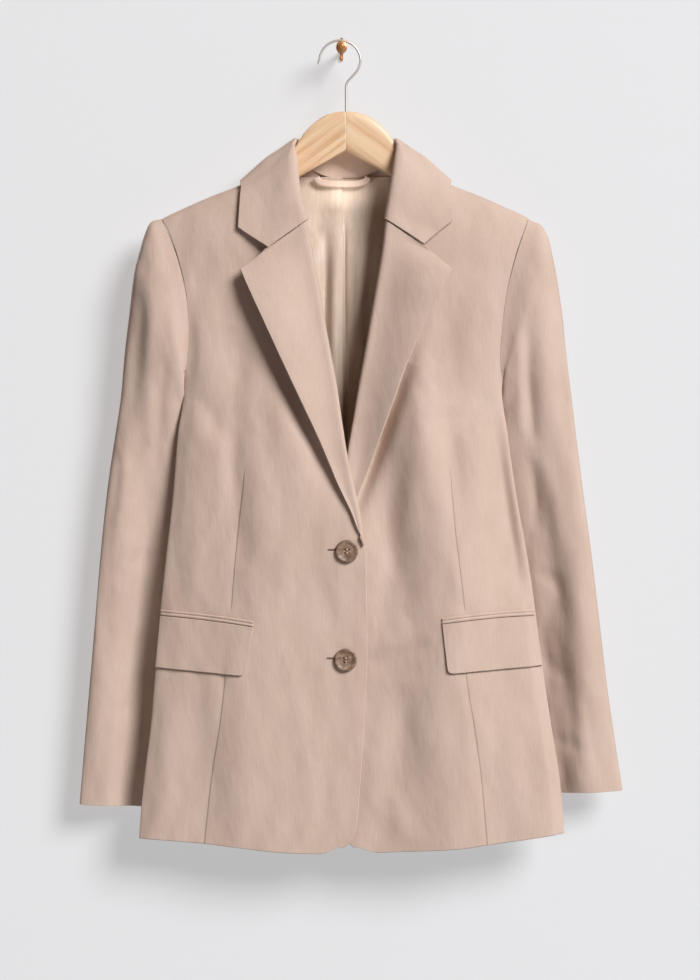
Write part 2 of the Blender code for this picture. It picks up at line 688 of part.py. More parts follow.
def sleeve(side, finish):
    name = side_name(side)
    front, back = SLEEVE_FRONT_SEAM * math.pi, -SLEEVE_BACK_SEAM * math.pi
    pieces = {
        "upper_sleeve_": (back + SLEEVE_SEAM_GAP, front - SLEEVE_SEAM_GAP, 13),
        "under_sleeve_": (front + SLEEVE_SEAM_GAP, back - SLEEVE_SEAM_GAP + 2 * math.pi, 7),
    }
    sections = [None] + SLEEVE
    for piece, (start, end, columns) in pieces.items():
        angles = [mix(start, end, t) for t in spread(columns)]
        grid = [[sleeve_section(side, row, angle) for angle in angles] for row in sections]
        normals = []
        for i, row in enumerate(sections):
            line = []
            for j, angle in enumerate(angles):
                down = grid[min(i + 1, len(grid) - 1)][j] - grid[max(i - 1, 0)][j]
                over = sleeve_section(side, row, angle + 0.03) - sleeve_section(side, row, angle - 0.03)
                line.append(down.cross(over).normalized() * -side)
            normals.append(line)
        sheet(piece + name, grid, CLOTH, -side, finish, None, lambda i, j: 0 if i == 0 else None, normals)


def lining_bulge(x, z):
    """How far forward of the back the lining hangs."""
    down = smooth(-z, *LINING_BULGE_TOP) * (1 - smooth(-z, *LINING_BULGE_LOW))
    return LINING_BULGE * down * (1 - smooth(abs(x - CENTRE), *LINING_BULGE_SIDE))


def lining_back(finish):
    grid = []
    for height in LINING_ROWS:
        z = height * MM
        right = max(body("right", z) * LINING_SHARE, outer_edge(-1, z) + LINING_INSET)
        left = min(body("left", z) * LINING_SHARE, outer_edge(1, z) - LINING_INSET)
        across = [mix(right, PLEAT_X - 30 * MM, t) for t in spread(5)]
        across += [PLEAT_X - 16 * MM, PLEAT_X - 1 * MM, PLEAT_X, PLEAT_X + 14 * MM]
        across += [mix(PLEAT_X + 34 * MM, left, t) for t in spread(5)]
        row = []
        for x in across:
            out = abs(x - CENTRE)
            first = LINING_ROWS[0] * MM
            top = shoulder_height(x) - LINING_DROP if out >= LINING_FLAT else first
            lowered = min(z, mix(first, top, smooth(out, 30 * MM, 62 * MM)) - 0.25 * (first - z))
            point = surface(x, lowered, 1, -CLOTH - LINING_GAP - LINING)
            proud = PLEAT_STEP * smooth(x, PLEAT_X - 24 * MM, PLEAT_X - 6 * MM) if x < PLEAT_X else 0
            point.y -= proud + lining_bulge(x, lowered)
            row.append(point)
        grid.append(row)
    sheet("lining_back", grid, LINING, 1, finish)


def hanger_loop(finish):
    points = [Vector((x, 0, z)) * MM for x, z in LOOP]
    grid = []
    for i, point in enumerate(points):
        along = (points[min(i + 1, len(points) - 1)] - points[max(i - 1, 0)]).normalized()
        across = Vector((-along.z, 0, along.x))
        row = []
        for t in (-0.5, 0, 0.5):
            place = point + across * LOOP_WIDTH * t
            place.y = depth(place.x, place.z, 1) - CLOTH - LINING_GAP - LINING - PLEAT_STEP - CLOTH - 0.6 * MM
            row.append(place)
        grid.append(row)
    sheet("hanger_loop", grid, CLOTH, -1, finish)


def pocket_line(side, t):
    """Where a jet's top edge lies at a share t from its inner end to the side seam: x and z."""
    inner, top_inner, top_outer, bow = (value * MM for value in POCKETS[side][:4])
    outer = body(side_name(side), top_outer) * SIDE_SHARE
    return mix(inner, outer, t), mix(top_inner, top_outer, t) + 4 * bow * t * (1 - t)


def pocket(side, finish):
    name = side_name(side)
    jet = []
    for share in (0, 0.5, 1):
        row = []
        for t in spread(9, 0.5):
            x, z = pocket_line(side, t)
            row.append(surface(x, z - share * JET_WIDTH, -1, CLOTH + 0.4 * MM, side=side))
        jet.append(row)
    sheet("pocket_jet_" + name, jet, CLOTH, side, finish)
    low_inner, low_outer, slant = (value * MM for value in POCKETS[side][4:])
    flap = []
    for number in range(FLAP_ROWS):
        down = number / (FLAP_ROWS - 1)
        row = []
        for t in [0, 0.03, 0.07] + [mix(0.12, 1, share) for share in spread(8, 0.5)]:
            x, z = pocket_line(side, t)
            z -= JET_WIDTH + SEAM
            inset = t * abs(body(name, z) * SIDE_SHARE - POCKETS[side][0] * MM)
            corner = FLAP_CORNER - math.sqrt(max(FLAP_CORNER**2 - max(FLAP_CORNER - inset, 0) ** 2, 0))
            low = mix(low_inner, low_outer, t) + corner * 0.8
            z = mix(z, low, down)
            outer = body(name, z) * SIDE_SHARE
            x = mix(POCKETS[side][0] * MM + slant * down, outer, t)
            row.append(surface(x, z, -1, CLOTH + mix(*FLAP_LIFT, down**1.5) * MM, side=side))
        flap.append(row)
    sheet("pocket_flap_" + name, flap, CLOTH, side, finish)


def button(name, centre, finish):
    x, z = (value * MM for value in centre)
    face = surface(x, z, -1, side=-1).y - 0.5 * MM
    r, h = BUTTON_RADIUS, BUTTON_HEIGHT
    profile = [(0, r * 0.7), (h * 0.35, r * 0.96), (h * 0.62, r), (h * 0.9, r * 0.96), (h, r * 0.88)]
    profile += [(h * 0.82, r * 0.74), (h * 0.6, r * 0.6), (h * 0.52, r * 0.3)]
    base = (x, face, z)
    made = turned(name, profile, 32, base, (0, -1, 0), finish)
    cutters = []
    for across in (-1, 1):
        for up in (-1, 1):
            spot = Vector(base) + Vector((across, 0, up)) * BUTTON_HOLE_SPACING + Vector((0, 2 * MM, 0))
            cutter = turned(name + "_hole", [(0, BUTTON_HOLE), (8 * MM, BUTTON_HOLE)], 8, spot, (0, -1, 0), finish)
            cutter.hide_render = True
            cutter.display_type = "WIRE"
            cutters.append(cutter)
    for cutter in cutters:
        cut = made.modifiers.new("hole", "BOOLEAN")
        cut.object = cutter
        cut.solver = "MANIFOLD"


def hanger(wood, wire):
    for side in (-1, 1):
        rings = []
        for out, top, low, y, thick in HANGER:
            half_tall, half_thick = (top - low) / 2 * MM, thick / 2 * MM
            centre = Vector((HANGER_CENTRE + side * out * MM, y * MM, (top + low) / 2 * MM))
            ring = []
            for k in range(12):
                angle = 2 * math.pi * k / 12
                across, up = math.cos(angle), math.sin(angle)
                size = (abs(across) ** 3 + abs(up) ** 3) ** (-1 / 3)
                ring.append(centre + Vector((0, across * half_thick, up * half_tall)) * size)
            rings.append(ring)
        loft("hanger_arm_" + side_name(side), rings, wood)
    points = [Vector((-25.3, 0, -21.4)) * MM]
    for degrees in range(174, -1, -12):
        angle = math.radians(degrees)
        x = WIRE_BEND[0] + WIRE_BEND_RADIUS * math.cos(angle)
        points.append(Vector((x, 0, WIRE_BEND[1] + WIRE_BEND_RADIUS * math.sin(angle))))
    points += [Vector((x, 0, z)) * MM for x, z in WIRE_NECK]
    curve = bpy.data.curves.new("hanger_hook", "CURVE")
    curve.dimensions = "3D"
    curve.bevel_depth = WIRE_RADIUS
    curve.bevel_resolution = 2
    curve.use_fill_caps = True
    spline = curve.splines.new("POLY")
    spline.points.add(len(points) - 1)
    for spot, point in zip(spline.points, points):
        spot.co = (point.x, WIRE_DEPTH, point.z, 1)
    curve.materials.append(wire)
    bpy.context.scene.collection.objects.link(bpy.data.objects.new("hanger_hook", curve))


def wall_hook(finish):
    width, thick, tall = PLATE
    rings = []
    for y in (0, -thick):
        ring = []
        for k in range(16):
            angle = 2 * math.pi * k / 16
            end = (tall - width) / 2 * (1 if 0 < k < 8 else -1 if k > 8 else 0)
            ring.append(Vector((width / 2 * math.cos(angle), y, end + width / 2 * math.sin(angle))))
        rings.append(ring)
    loft("wall_hook_plate", rings, finish)
    profile = [(along * MM, radius * MM) for along, radius in PEG]
    turned("wall_hook_peg", profile, 20, (0, 0, PEG_HEIGHT), (0, -1, 0), finish)
    profile = [(along * MM, radius * MM) for along, radius in DROP]
    foot = PEG_HEIGHT - 5.8 * MM - SEAM
    turned("wall_hook_drop", profile, 12, (-0.8 * MM, -43 * MM, foot), (0, 0, -1), finish)


def main():
    for item in list(bpy.data.objects):
        bpy.data.objects.remove(item)
    shell = material("linen_blend", (0.56, 0.42, 0.34), 0.85)
    lining = material("satin_lining", (0.6, 0.48, 0.36), 0.45)
    horn = material("mottled_horn", (0.28, 0.2, 0.14), 0.35)
    wood = material("pale_beech", (0.8, 0.6, 0.37), 0.5)
    nickel = material("nickel_wire", (0.7, 0.68, 0.65), 0.25, 1.0)
    brass = material("polished_brass", (0.78, 0.55, 0.25), 0.25, 1.0)
    for side in (-1, 1):
        front_panel(side, shell)
        back_panel(side, shell)
        lapel(side, shell)
        sleeve(side, shell)
        pocket(side, shell)
    collar(shell)
    lining_back(lining)
    hanger_loop(shell)
    for name, centre in BUTTONS.items():
        button("button_" + name, centre, horn)
    hanger(wood, nickel)
    wall_hook(brass)


main()
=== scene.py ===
"""Looks of the single breasted blazer on its hanger: cloth shells with their creases, lapels, collar,
pockets, buttonholes, lining, wooden hanger, wire, brass hook, finishes, light and camera.

Frame: metres, +Z up, the front faces -Y, the wearer's right is at -X, the wall is y = 0. Tables are in
millimetres. The cloth follows the tables of its solids, in finer steps, with its creases added.
"""

import json
import math

import bmesh
import bpy
import numpy as np
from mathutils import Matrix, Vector

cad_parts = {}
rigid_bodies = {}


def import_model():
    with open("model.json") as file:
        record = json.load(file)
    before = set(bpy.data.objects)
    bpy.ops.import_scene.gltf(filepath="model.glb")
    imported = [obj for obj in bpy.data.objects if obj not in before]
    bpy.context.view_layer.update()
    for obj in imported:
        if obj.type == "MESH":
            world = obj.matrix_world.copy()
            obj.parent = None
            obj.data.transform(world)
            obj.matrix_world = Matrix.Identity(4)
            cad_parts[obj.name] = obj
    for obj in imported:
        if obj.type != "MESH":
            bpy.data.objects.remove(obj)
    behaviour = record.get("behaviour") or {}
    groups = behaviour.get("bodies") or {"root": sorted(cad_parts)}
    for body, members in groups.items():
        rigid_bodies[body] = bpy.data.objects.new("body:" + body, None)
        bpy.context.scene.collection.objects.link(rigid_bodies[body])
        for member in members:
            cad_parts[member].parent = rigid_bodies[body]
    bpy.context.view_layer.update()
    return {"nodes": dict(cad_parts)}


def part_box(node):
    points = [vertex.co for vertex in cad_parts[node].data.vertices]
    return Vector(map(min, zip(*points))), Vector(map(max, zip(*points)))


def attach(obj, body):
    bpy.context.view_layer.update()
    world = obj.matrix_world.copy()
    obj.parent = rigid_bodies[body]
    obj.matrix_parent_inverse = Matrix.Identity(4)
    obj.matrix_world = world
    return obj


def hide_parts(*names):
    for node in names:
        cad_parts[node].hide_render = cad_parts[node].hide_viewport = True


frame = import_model()
nodes = frame["nodes"]

MM = 0.001
CLOTH = 1.8 * MM
LINING = 1.0 * MM
SEAM = 0.3 * MM  # gap between two pieces at a seam
CENTRE = 4.5 * MM  # the garment hangs this far to the wearer's left of the hook
RIDGE_DEPTH = -42 * MM  # y of the shoulder seam, over the hanger
SHOULDER_ROUND = 62 * MM  # drop over which the shoulder rounds into front and back
# Powers of the section from the middle to the side: the higher the first one, the flatter the middle.
FRONT_POWERS = (2.9, 0.58)
BACK_POWERS = (2.1, 0.9)
LAYER_GAP = 1.2 * MM  # least air under a lapel
END_GAP = 0.2 * MM  # and at its lower end

# The body's section at each height: its two edges, and the depth of its front, its side seam and its back.
# Above the underarm the edges are the shape that the armhole is cut from.
BODY_COLUMNS = ("height", "right", "left", "front", "side", "back")
BODY = [
    (-90, -238, 246, -60, -43, -17), (-150, -233, 241, -64, -43, -15), (-200, -222, 230, -67, -44, -13),
    (-260, -203, 211, -69, -47, -12), (-320, -183, 187.5, -71, -52, -12),
    (-362, -167.7, 171, -72, -55, -12), (-417, -173.9, 176.8, -73, -58, -12),
    (-479, -178.8, 185.4, -74, -58, -12), (-549, -186.6, 198, -74, -58, -12),
    (-600, -192, 205.5, -74, -58, -12), (-662, -197.2, 213.4, -73.5, -58, -12),
    (-723, -202.2, 222.6, -73, -58, -12), (-774, -208.6, 230.8, -72, -58, -12),
    (-814, -212.8, 235, -71, -58, -13), (-862, -216.4, 238, -70, -58, -13),
]

# The armhole seam on each side, as the panels' outer edge.
EDGE_COLUMNS = ("height", "right", "left")
ARMHOLE = [
    (-187, -192.2, 199.4), (-205, -183.5, 193), (-227, -175.3, 185.7), (-254, -167.8, 178.4),
    (-279, -163.6, 173.7), (-305, -162, 170.8), (-336, -163.6, 168.6), (-362, -167.7, 171),
]

# The shoulder line, as height against distance from the centre.
SHOULDER_COLUMNS = ("out", "height")
SHOULDER = [
    (0, -78), (30, -90), (56, -107), (74, -121.5), (94, -138), (112, -150), (140, -161), (170, -174),
    (197, -187), (215, -199),
]

# Each front's inner edge: under the fold of collar and lapel, and then the free front edge and its round
# corner.
ROLL = [
    (-104, -50.5, 60.5), (-125, -48.3, 57.4), (-162, -44.2, 51.5), (-190, -36.8, 46.7), (-225, -30, 42.5),
    (-260, -23.1, 36.5), (-296, -17.3, 30.3), (-330, -11, 24.4), (-365, -4.6, 18), (-402, 0.7, 11.8),
    (-436, 6, 6), (-473, 13.8, 1), (-500, 20, -2), (-535, 25, -4),
]
FRONT_EDGE = [
    (-540, 25.4, 1), (-600, 27, 0), (-655, 27.3, 0), (-677, 26.6, -1), (-744, 22.8, -2), (-803, 18.6, -1),
    (-827, 16.5, 1), (-839, 13.3, 4), (-850, 7, 9), (-857, -4, 18),
]

# The dart from the bust to the pocket, and the seam that runs on from it to the hem. Above the bust it
# is only the line that the grid follows.
DART = [
    (-150, -126, 134), (-250, -114, 122), (-330, -104, 114), (-400, -100, 112), (-452, -101.8, 114.7),
    (-516, -108.6, 119.9), (-561, -113, 125.2), (-600, -116, 129.5), (-672, -122.4, 131.8),
    (-722, -128, 139.6), (-777, -136.8, 147.4), (-860, -146, 154.8),
]

# The hem of the fronts, as height against x.
HEM_COLUMNS = ("across", "height")
HEM = [
    (-222, -844.5), (-146, -849.5), (-65, -858.4), (-15, -860), (20, -859.4), (60, -858), (125, -854.5),
    (154, -850.6), (196, -845.3), (242, -838.5),
]

UNDERARM = ARMHOLE[-1][0] * MM
EDGE_TOP = -540 * MM  # the free front edge starts here, below the lapel's end

# Where the right front lies on the left one: how far it stands out at the pocket and higher up, the
# heights between which that changes, the distances from the centre over which it rises, and the drops
# over which it starts.
OVERLAP = (3.4 * MM, 7 * MM)
OVERLAP_HEIGHTS = (-620 * MM, -530 * MM)
OVERLAP_ACROSS = (-150 * MM, -12 * MM)
OVERLAP_DROPS = (330 * MM, 430 * MM)
BEHIND_FOLD = (3.5 * MM, 5.9 * MM)  # how far a front's edge stops short of the fold, low and high
BEHIND_FOLD_HEIGHTS = (-500 * MM, -400 * MM)
FOLD_END_HEIGHTS = (-540 * MM, -518 * MM)

# Rows of the front's grid: height at its inner edge, height at its outer edge, and how far the row
# follows the shoulder line or the hem.
FRONT_ROWS = [
    (-108, -187.3, 1), (-110, -188.5, 0.96), (-115, -191.5, 0.88), (-123, -197, 0.78), (-136, -206, 0.64),
    (-154, -220, 0.48), (-178, -241, 0.3), (-208, -268, 0.14), (-245, -296, 0), (-290, -328, 0),
    (-335, -362, 0), (-380, -392, 0), (-420, -424, 0), (-451, -451, 0), (-486, -486, 0), (-516, -516, 0),
    (-540, -540, 0), (-590, -590, 0), (-655, -655, 0), (-720, -720, 0), (-780, -780, 0), (-822, -815, 0),
    (-842, -832, 0.5), (-853, -844.5, 1),
]
HEM_ROWS = 2  # the last rows follow the hem and not the shoulder
HEM_EASE = 0.12  # share of a row over which the hem's shape comes in, beside the round corner
DART_SHARE = 0.55  # the dart's height on a row, as a share from its inner to its outer end

# Rows of the back's grid, with the same columns, and its neck edge as height against distance from the
# centre.
BACK_ROWS = [
    (-137.5, -187.3, 1), (-138.5, -188.5, 0.97), (-140.5, -191.5, 0.9), (-144, -197, 0.8),
    (-151, -206, 0.66), (-162, -220, 0.48), (-180, -241, 0.3), (-206, -268, 0.14), (-240, -296, 0),
    (-285, -328, 0), (-330, -362, 0), (-380, -400, 0), (-450, -455, 0), (-530, -530, 0), (-610, -610, 0),
    (-690, -690, 0), (-770, -770, 0), (-836, -836, 0),
]
NECK_COLUMNS = ("out", "height")
NECK = [
    (0, -137.5), (20, -136), (40, -128.6), (50, -120), (57.5, -108.3),
]

# Each lapel, row by row: height on the fold, x and height of the outer edge, and radius of the roll. The
# first row is the gorge seam, and the third ends at the lapel's tip.
LAPELS = {
    -1: [
        (-191.2, -77, -220.9, 4.5), (-210, -92, -231.5, 4.6), (-236, -106.8, -242.7, 4.8),
        (-268, -97.5, -264, 4.8), (-305, -80.5, -301, 4.8), (-345, -60.4, -344.5, 4.8),
        (-385, -40.5, -386.5, 4.4), (-425, -22.5, -425, 3.8), (-465, -4, -469, 3.2), (-495, 9.5, -497, 3.1),
        (-512, 16, -513.5, 2.9), (-522, 20.4, -523, 2.2), (-530, 23.2, -530.3, 1.5),
        (-534, 24.3, -534.1, 1.2),
    ],
    1: [
        (-190.5, 86.6, -217.9, 4.5), (-208, 101, -229, 4.6), (-234, 116.5, -242.2, 4.8),
        (-266, 104, -267, 4.8), (-303, 86.5, -303, 4.8), (-342, 69.5, -341, 4.6), (-380, 55.5, -380, 3.8),
        (-415, 42.8, -415, 2.8), (-450, 30.2, -450, 2.2), (-482, 18, -480, 2), (-502, 8.5, -502, 2),
    ],
}
CORNER_ROW = 2  # the lapel's tip and the collar's notch are sharp corners at this row of their tables
LAPEL_SPREAD = (17 * MM, 18 * MM)  # how far each lapel's edge stands out, right and left
LAPEL_OPENING = 0.3  # the share of the way down over which it comes to stand out
LAPEL_CLOSING = ((0.7, 0.965), (0.86, 1.03))  # and over which it comes to lie flat again, right and left
LAPEL_END = (0.85, 1)  # and over which the air under it is let out
GORGE_ROWS = 1.6  # rows over which the lapel leaves the collar, below the gorge seam
GORGE_CLOSE = 0.75  # in mm: the lapel comes this much nearer the collar at the gorge seam

# The collar from one gorge seam round the back of the neck to the other, each half by its own numbers. In
# front a row is the height on the fold, then x and height of the outer edge. Round the neck the fold is a
# point.
COLLAR_FRONTS = {
    -1: [
        (-190.4, -77.2, -219.7), (-180, -94.5, -208.6), (-169, -109.6, -198), (-152, -108.6, -181),
        (-134, -107.6, -166), (-119, -106.6, -156),
    ],
    1: [
        (-189.4, 86.8, -216.3), (-179, 103.5, -202), (-168, 118.7, -189.8), (-151, 117.4, -176),
        (-134, 116, -165), (-119, 114.8, -157),
    ],
}
COLLAR_ROLL = 4.5 * MM
COLLAR_SPREAD = (4.2, 10.5)  # how far the collar's edge stands out, from the shoulder to the notch
COLLAR_SPREAD_HEIGHTS = (-200 * MM, -225 * MM)
COLLAR_FALL_LIFT = CLOTH + 1.6 * MM
COLLAR_BACK_COLUMNS = ("out", "depth", "crest", "foot_out", "foot_depth", "foot")
COLLAR_BACK_COLUMNS += ("edge_out", "edge_face", "edge")
COLLAR_BACK = [
    (54.6, -50, -105.5, 57, -50, -112, 110.6, -1, -150.5),
    (54.2, -41, -102, 57.2, -41, -106.6, 108, 1, -152),
    (49.5, -29.5, -102, 52.5, -27.5, -115.5, 97, 1, -157),
    (38, -22.5, -104.5, 40.5, -20.5, -129, 72, 1, -161),
    (20, -19.5, -108, 20.5, -19.2, -139.5, 36, 1, -164), (0, -18.5, -109.5, 0, -19, -141.5, 0, 1, -165.5),
]

# Each sleeve's sections, from the head to the cuff. A section runs from its outer (top) point to its
# inner point, and bulges by half to the front and back of its middle depth; tilt takes its inner end
# nearer the wall, behind the body. seam says how much of the armhole's own shape is left in it.
SLEEVE_COLUMNS = ("seam", "depth", "half", "tilt")
SLEEVE_COLUMNS += ("out_right", "top_right", "in_right", "low_right")
SLEEVE_COLUMNS += ("out_left", "top_left", "in_left", "low_left")
SLEEVE = [
    (0.8, -41, 27, 0, -198.5, -188, -169.2, -364.5, 205.8, -190, 172.4, -364.5),
    (0.5, -40.5, 28, 2, -204, -190.8, -168.2, -369, 212.8, -193.5, 171.2, -369),
    (0.25, -40, 28.5, 4, -210, -204, -165.8, -376, 219.5, -205, 168.8, -376),
    (0.1, -39, 28, 6, -215.5, -223, -163.5, -385, 224.2, -222.5, 167, -385),
    (0, -38, 26.5, 9, -221.2, -247, -161.5, -396, 229.6, -250, 165, -396),
    (0, -36, 24, 12, -226.4, -290, -162, -408, 235.5, -290, 166, -408),
    (0, -34, 21.5, 16, -231.2, -331, -156, -428, 239.6, -331, 160, -428),
    (0, -32, 19, 20, -235.6, -380, -150, -456, 245.6, -380, 154, -456),
    (0, -30.5, 16.5, 23, -243.2, -430, -147, -490, 251.6, -430, 151, -490),
    (0, -29, 14.5, 25, -250, -478, -146, -526, 257.2, -478, 151, -526),
    (0, -27.5, 13, 27, -257, -545, -147, -578, 265.8, -545, 154, -578),
    (0, -26.5, 12, 28, -262.4, -610, -150, -632, 273.8, -610, 161, -632),
    (0, -25.5, 11.5, 28, -268.4, -680, -154, -694, 282.6, -680, 169, -694),
    (0, -25, 11, 27, -274, -745, -158, -757, 291.4, -740, 177, -748),
    (0, -25, 10.5, 25, -279.6, -811, -163, -817, 300, -796, 185, -801),
]
SEAM_ROW = (1.0, -41, 27, 0, -192.2, -187, -167.7, -362, 199.4, -187, 171, -362)  # the armhole seam itself
# Where the two sleeve seams run, as a share of the way round from the top to the inside.
SLEEVE_FRONT_SEAM = 0.82
SLEEVE_BACK_SEAM = 0.6
ARMHOLE_GAP = -0.5 * MM  # the sleeve head is tucked in at the seam
SLEEVE_SEAM_GAP = 0.001  # half the gap at a sleeve seam, in radians round the section
SLEEVE_STEP = 3 * MM  # its grid's rows are this far apart
ANGLE_STEP = 0.02  # radians over which its normals are taken

# The pockets: the jet's top line and the flap's lower edge, at the end near the front and at the side
# seam, the rise of the jet's middle, and how far the flap's inner end slants. The order: inner end, jet's
# top at its inner and outer end, rise, flap's lower edge at its inner and outer end, slant.
POCKETS = {
    -1: (-92.5, -613.2, -601.8, 1.2, -671.8, -663.4, -9.6),
    1: (105.8, -609.8, -601.6, 1.5, -669, -661.3, 6),
}
FLAP_LIFT = (0.2, 1.5)  # how far the flap stands off the front, at its top and its lower edge
JET_WIDTH = 6.8 * MM
JET_ROLL = 1.3 * MM  # how high its two rolls stand
FLAP_CORNER = 6 * MM  # radius of the flap's corner
FLAP_END_SHARE = 0.12  # the share of its width with finer columns, for the corner
POCKET_ROWS = 26
POCKET_EASE = 1.3  # columns are closer together towards the side seam by this power
SIDE_SHARE = 0.992  # jets and flaps reach this share of the way to the side seam

BUTTONS = {"upper": (5.8, -540), "lower": (4.6, -654.5)}  # centres on the right front
BUTTON_HEIGHT = 4.2 * MM
BUTTON_HOLE_SPACING = 1.8 * MM  # from the button's centre, across and up
BUTTON_DISH = 0.44  # the thread lies at this share of the button's height
THREAD_RADIUS = 0.36 * MM  # of one strand, in a bar of two
HOLE_RISE = 1.6 * MM  # the buttonhole lies this far above the button's centre
HOLE_REACH = 19.5 * MM  # from the button's centre to its far end
HOLE_UNDER = 1 * MM  # and past the centre to its near end
HOLE_HALF = 0.5 * MM  # half its width
HOLE_LIFT = 0.25 * MM  # how far the stitches stand out
HOLE_STITCH = (0.5 * MM, 1.1 * MM, 0.45 * MM)  # the stitches' spacing, length and thickness

# The back's lining, by the heights of its rows, with a pleat at the centre and a loop at the neck.
LINING_GAP = 1.6 * MM
LINING_ROWS = [-139.6, -148, -162, -185, -222, -275, -320, -358, -390, -430, -520, -640, -750, -812]
LINING_SHARE = 0.93  # how far towards the side seams it reaches
LINING_INSET = 15 * MM  # and short of the armholes
LINING_DROP = 26 * MM  # its top below the shoulder seam
LINING_FLAT = 50 * MM  # its top edge is level this far from the centre
LINING_BULGE = 16 * MM  # it hangs forward of the back by up to this, below the hanger
LINING_BULGE_TOP = (150 * MM, 235 * MM)
LINING_BULGE_LOW = (520 * MM, 820 * MM)
LINING_BULGE_SIDE = (40 * MM, 125 * MM)
PLEAT_X = 1.6 * MM  # where the pleat's edge is
PLEAT_STEP = 2.4 * MM  # how far its cloth stands out there
PLEAT_GROOVE = 3.2 * MM  # and how deep the groove beside it is
# Columns of the lining's grid, in mm from the pleat's edge.
BESIDE_PLEAT = [-1, -0.4, 0, 0.4, 0.9, 1.5, 2.1, 2.8, 3.6, 4.5, 5.6]
LOOP = [
    (-27, -140), (-25.4, -143.6), (-20, -146.4), (-8, -147.2), (6, -147.4), (19, -147), (26.4, -144),
    (28.6, -140),
]
LOOP_WIDTH = 5.6 * MM
LOOP_GAP = 0.6 * MM

# The hanger's arms: distance from the mitre, upper and lower edge, depth and thickness.
HANGER_CENTRE = 4.8 * MM
HANGER = [
    (0.15, -72.2, -113.7, -41, 13), (12, -73.2, -120, -41, 13), (26, -78.4, -128, -41, 13),
    (40, -89.6, -136, -41, 12.6), (50, -102.5, -142, -41.5, 11.5), (58, -115, -147, -42, 10.5),
    (74, -128.5, -157, -42, 10), (94, -145.2, -168, -42, 10), (112, -157, -177, -42, 10),
    (140, -168, -187, -42, 9.5), (170, -181.5, -198, -42, 9), (184, -190.5, -202.5, -42, 8),
]
ARM_RINGS = 89
ARM_POWER = 5  # the arm's section is an oval of this power, nearly a rectangle with round corners
GRAIN_TURN = 36  # degrees: the grain runs down each arm
WIRE_RADIUS = 1.3 * MM
WIRE_TIP = (-25.3 * MM, -21.4 * MM)
WIRE_TIP_SHARE = 0.55  # of the wire's radius at its cut tip
WIRE_DEPTH = -40.5 * MM
WIRE_BEND = (-1.6 * MM, -18 * MM)  # centre of the hook's round bend
WIRE_BEND_RADIUS = 22 * MM
WIRE_NECK = [
    (19.9, -21), (16.8, -28.2), (11.2, -34.8), (6.4, -40.2), (4.8, -45.5), (4.8, -58), (4.8, -71.7),
]

